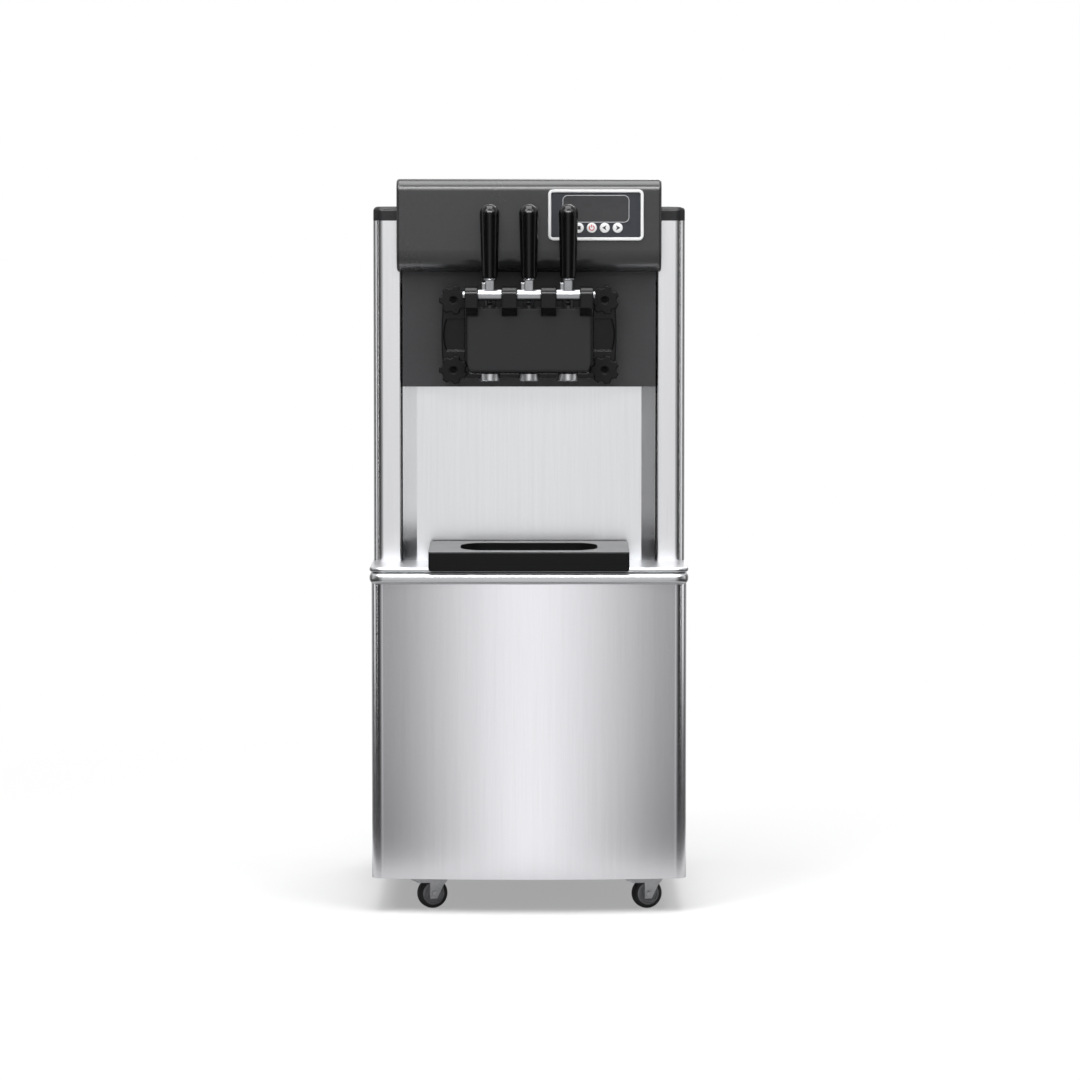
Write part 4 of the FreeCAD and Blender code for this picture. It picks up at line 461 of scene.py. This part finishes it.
# Dispensing head. A gloss black moulding with a matt front face, hinge lugs along its upper edge and hollowed
# wings; four lobed hand nuts on studs hold it to the head panel.
block_face = (-0.112, -0.2506, 0.915), (0.112, -0.2490, 1.045)
dress(finish("block_gloss", tint(13, 13, 14), tint(18, 18, 19), (0.14, 0.22), scale=500, bump=0.02, wiping=7,
             edge=0.003, patch=(*block_face, tint(26, 26, 28), 0.6),
             sockets={"Specular IOR Level": 0.22}), "dispenser_block")
knob_matt = finish("knob_matt", tint(15, 15, 16), tint(20, 20, 21), (0.36, 0.46), scale=900, bump=0.05,
                   edge=0.0016, sockets={"Specular IOR Level": 0.12})
dress(knob_matt, "star_knob_upper_left", "star_knob_upper_right",
      "star_knob_lower_left", "star_knob_lower_right")
dress(finish("nozzle_chrome", tint(196, 197, 199), tint(206, 207, 209), (0.3, 0.36), scale=300,
             sockets=BARE_METAL), "nozzles")


# Levers. Chromed arms on one hinge pin carry turned gloss black grips, and their tails lift white food-grade
# plungers out of the block.
dress(finish("lever_chrome", tint(150, 151, 154), tint(168, 169, 172), (0.16, 0.24), scale=300, bump=0.01,
             edge=0.0025, sockets=BARE_METAL), "lever_arm_left", "lever_arm_center", "lever_arm_right",
      "hinge_pin")
dress(finish("grip_gloss", tint(8, 8, 9), tint(12, 12, 13), (0.14, 0.2), scale=400, bump=0.01, wiping=20,
             sockets={"Specular IOR Level": 0.3}), "lever_grip_left", "lever_grip_center", "lever_grip_right")
stem_tops = (-0.1, -0.3, 1.034), (0.1, -0.2, 1.2)
dress(finish("plunger_white", tint(224, 223, 218), tint(234, 233, 229), (0.3, 0.4), scale=500, bump=0.03,
             patch=(*stem_tops, tint(84, 84, 86), 0.3),
             sockets={"Subsurface Weight": 0.05}), "plunger_left", "plunger_center", "plunger_right")


# Drip tray and grid. A satin black moulded drawer whose apron hangs over the shelf, with a slotted grid on the
# ledge of its stadium-shaped well.
dress(finish("tray_black", tint(13, 13, 14), tint(17, 17, 19), (0.28, 0.36), scale=800, bump=0.03, wiping=5,
             edge=0.002, sockets={"Specular IOR Level": 0.12}), "drip_tray")
dress(finish("grid_black", tint(22, 22, 23), tint(28, 28, 30), (0.34, 0.46), scale=800, bump=0.08, edge=0.0006),
      "drip_grid")


# Cord gland. A matt black moulded bush pressed into the rear apron.
dress(finish("gland_matt", tint(24, 24, 25), tint(32, 32, 33), (0.5, 0.62), scale=700, bump=0.1, edge=0.0006),
      "cord_gland")


# Studio. A pale floor that fades to white with distance, soft area lamps around the machine, and cards that
# only reflections see: graded from white to dark for the edges of bent steel, and mid grey behind.
def stage_mesh(name, points, faces, material):
    """A stage piece in metres, which isn't part of the machine."""
    mesh = bpy.data.meshes.new(name)
    mesh.from_pydata(np.asarray(points).reshape(-1, 3).tolist(), [], [list(face) for face in faces])
    mesh.materials.append(material)
    made = bpy.data.objects.new(name, mesh)
    bpy.context.scene.collection.objects.link(made)
    return made


floor_white = bpy.data.materials.new("floor_white")
floor_white.use_nodes = True
nodes, links = floor_white.node_tree.nodes, floor_white.node_tree.links
shader = nodes["Principled BSDF"]
shader.inputs["Roughness"].default_value = 0.9
shader.inputs["Specular IOR Level"].default_value = 0.0
white = nodes.new("ShaderNodeEmission")
far = nodes.new("ShaderNodeVectorMath")
far.operation = "LENGTH"
links.new(nodes.new("ShaderNodeTexCoord").outputs["Object"], far.inputs[0])
seen = nodes.new("ShaderNodeLightPath")
# To reflections the floor is dark near the machine and turns white further out: a painted shade that darkens
# the machine's downward faces and lower edges. Seen straight on, the floor stays pale.
pale = nodes.new("ShaderNodeMix")
pale.data_type = "RGBA"
links.new(seen.outputs["Is Glossy Ray"], pale.inputs[0])
floor_shade, floor_shade_mirrored = 0.82, 0.14
pale.inputs[6].default_value = (floor_shade, floor_shade, floor_shade, 1)
pale.inputs[7].default_value = (floor_shade_mirrored, floor_shade_mirrored, floor_shade_mirrored, 1)
links.new(pale.outputs[2], shader.inputs["Base Color"])
share = None
for label, near, away, least in (("Is Camera Ray", 0.6, 2.6, 0.35), ("Is Glossy Ray", 0.38, 0.95, 0.12)):
    fade = nodes.new("ShaderNodeMapRange")
    fade.interpolation_type = "SMOOTHSTEP"
    fade.inputs["From Min"].default_value = near
    fade.inputs["From Max"].default_value = away
    fade.inputs["To Min"].default_value = least
    links.new(far.outputs["Value"], fade.inputs["Value"])
    part = nodes.new("ShaderNodeMath")
    part.operation = "MULTIPLY_ADD"
    links.new(fade.outputs["Result"], part.inputs[0])
    links.new(seen.outputs[label], part.inputs[1])
    part.inputs[2].default_value = 0.0
    if share is not None:
        links.new(share, part.inputs[2])
    share = part.outputs[0]
both = nodes.new("ShaderNodeMixShader")
links.new(share, both.inputs[0])
links.new(shader.outputs[0], both.inputs[1])
links.new(white.outputs[0], both.inputs[2])
links.new(both.outputs[0], nodes["Material Output"].inputs["Surface"])
ring = np.radians(np.arange(0, 360, 5))
floor_reach = 60
stage_mesh("floor", floor_reach * np.column_stack([np.cos(ring), np.sin(ring), np.zeros(len(ring))]),
           [np.arange(len(ring))], floor_white)


def card(name, bearings, shade, out, rise):
    """A bent card of one shade: an arc of bearings from the front, carried out along the floor and up."""
    dull = bpy.data.materials.new(name)
    dull.use_nodes = True
    dull_shader = dull.node_tree.nodes["Principled BSDF"]
    dull_shader.inputs["Base Color"].default_value = (0, 0, 0, 1)
    dull_shader.inputs["Specular IOR Level"].default_value = 0.0
    dull_shader.inputs["Emission Color"].default_value = (shade, shade, shade, 1)
    dull_shader.inputs["Emission Strength"].default_value = 1.0
    steps = 12
    bearing = np.radians(np.linspace(*bearings, steps))[:, None]
    wall = np.stack(np.broadcast_arrays(out * np.sin(bearing), -out * np.cos(bearing), rise), -1)
    return stage_mesh(name, wall, lattice(steps, out.shape[1], False, False), dull)


card_start, card_wall, card_top, over_floor = 0.9, 5.5, 3.2, 0.002
reach_out = np.array([[card_start, card_wall, card_wall]])
climb = np.array([[over_floor, over_floor, card_top]])
borders = [2.5, 5, 7.5, 10, 12.5, 15, 17.5, 20, 24, 30]
shades = [0.93, 0.84, 0.74, 0.64, 0.54, 0.44, 0.34, 0.24, 0.13, 0.03]
strip_end, rear_end, back_end = 97, 126, 163
cards = []
for side, hand, last in ((-1, "left", 78), (1, "right", 72)):
    for number, (first, then, shade) in enumerate(zip(borders, borders[1:] + [last], shades)):
        cards.append(card(f"card_{hand}_{number}", (side * first, side * then), shade, reach_out, climb))
    cards.append(card(f"card_{hand}_floor", (side * last, side * strip_end), shades[-1],
                      np.array([[card_start, 4.0]]), np.array([[over_floor, over_floor]])))
    cards.append(card(f"card_{hand}_rear", (side * strip_end, side * rear_end), 0.12, reach_out, climb))
    cards.append(card(f"card_{hand}_back", (side * rear_end, side * back_end), 0.42, reach_out, climb))
upright = np.array([(3.5, -1.95, 0.1), (3.42, -2.1, 0.1), (3.42, -2.1, 2.6), (3.5, -1.95, 2.6)])
overhead = np.array([(-1.8, -3.7, 2.5), (1.8, -3.7, 2.5), (1.8, -3.3, 3.4), (-1.8, -3.3, 3.4)])
for name, corners, strength in (("strip_left", upright * (-1, 1, 1), 2.2), ("strip_right", upright, 2.2),
                                ("strip_top", overhead, 17.0)):
    glow = bpy.data.materials.new(name)
    glow.use_nodes = True
    shader = glow.node_tree.nodes["Principled BSDF"]
    shader.inputs["Base Color"].default_value = (0, 0, 0, 1)
    shader.inputs["Emission Color"].default_value = (1, 1, 1, 1)
    shader.inputs["Emission Strength"].default_value = strength
    cards.append(stage_mesh(name, corners, [(0, 1, 2, 3)], glow))
for mirrored in cards:
    mirrored.visible_camera = False
    mirrored.visible_diffuse = False
    mirrored.visible_shadow = False
    mirrored.visible_transmission = False

machine_middle = np.array((0, 0, 0.65))
for name, place, size, power in (("lamp_key", (-2.4, -3.3, 4.8), (2.4, 2.4), 120),
                                 ("lamp_fill", (2.8, -3.0, 4.4), (2.4, 2.4), 60),
                                 ("lamp_top", (0, -0.6, 4.6), (3.0, 3.0), 170),
                                 ("lamp_back", (1.5, 4.4, 3.6), (3.0, 2.4), 110)):
    lamp = bpy.data.lights.new(name, "AREA")
    lamp.shape = "RECTANGLE"
    lamp.size, lamp.size_y = size
    lamp.energy = power
    holder = bpy.data.objects.new(name, lamp)
    bpy.context.scene.collection.objects.link(holder)
    aim = machine_middle - np.array(place)
    flat = math.hypot(aim[0], aim[1])
    holder.location = place
    holder.rotation_euler = (math.atan2(flat, -aim[2]), 0, math.atan2(aim[1], aim[0]) - math.pi / 2)
    holder.visible_camera = False

world = bpy.data.worlds.new("white_room")
bpy.context.scene.world = world
world.use_nodes = True
nodes, links = world.node_tree.nodes, world.node_tree.links
nodes["Background"].inputs["Color"].default_value = (1, 1, 1, 1)
seen = nodes.new("ShaderNodeLightPath")
straight = seen.outputs["Is Camera Ray"]
for label in ("Is Glossy Ray", "Is Transmission Ray"):
    most = nodes.new("ShaderNodeMath")
    most.operation = "MAXIMUM"
    links.new(straight, most.inputs[0])
    links.new(seen.outputs[label], most.inputs[1])
    straight = most.outputs[0]
level = nodes.new("ShaderNodeMapRange")
bounced_light = 0.24
level.inputs["To Min"].default_value = bounced_light
links.new(straight, level.inputs["Value"])
links.new(level.outputs["Result"], nodes["Background"].inputs["Strength"])

tilt = math.radians(4.1)
reach, width_shown = 8.0, 1.85
target = np.array((0.019, -0.325, 0.6447))
camera = bpy.data.cameras.new("camera")
camera.sensor_width = 36
camera.lens = camera.sensor_width * reach / width_shown
viewer = bpy.data.objects.new("camera", camera)
bpy.context.scene.collection.objects.link(viewer)
viewer.location = target + reach * np.array((0, -math.cos(tilt), math.sin(tilt)))
viewer.rotation_euler = (math.pi / 2 - tilt, 0, 0)
bpy.context.scene.camera = viewer
bpy.context.scene.view_settings.view_transform = "Standard"
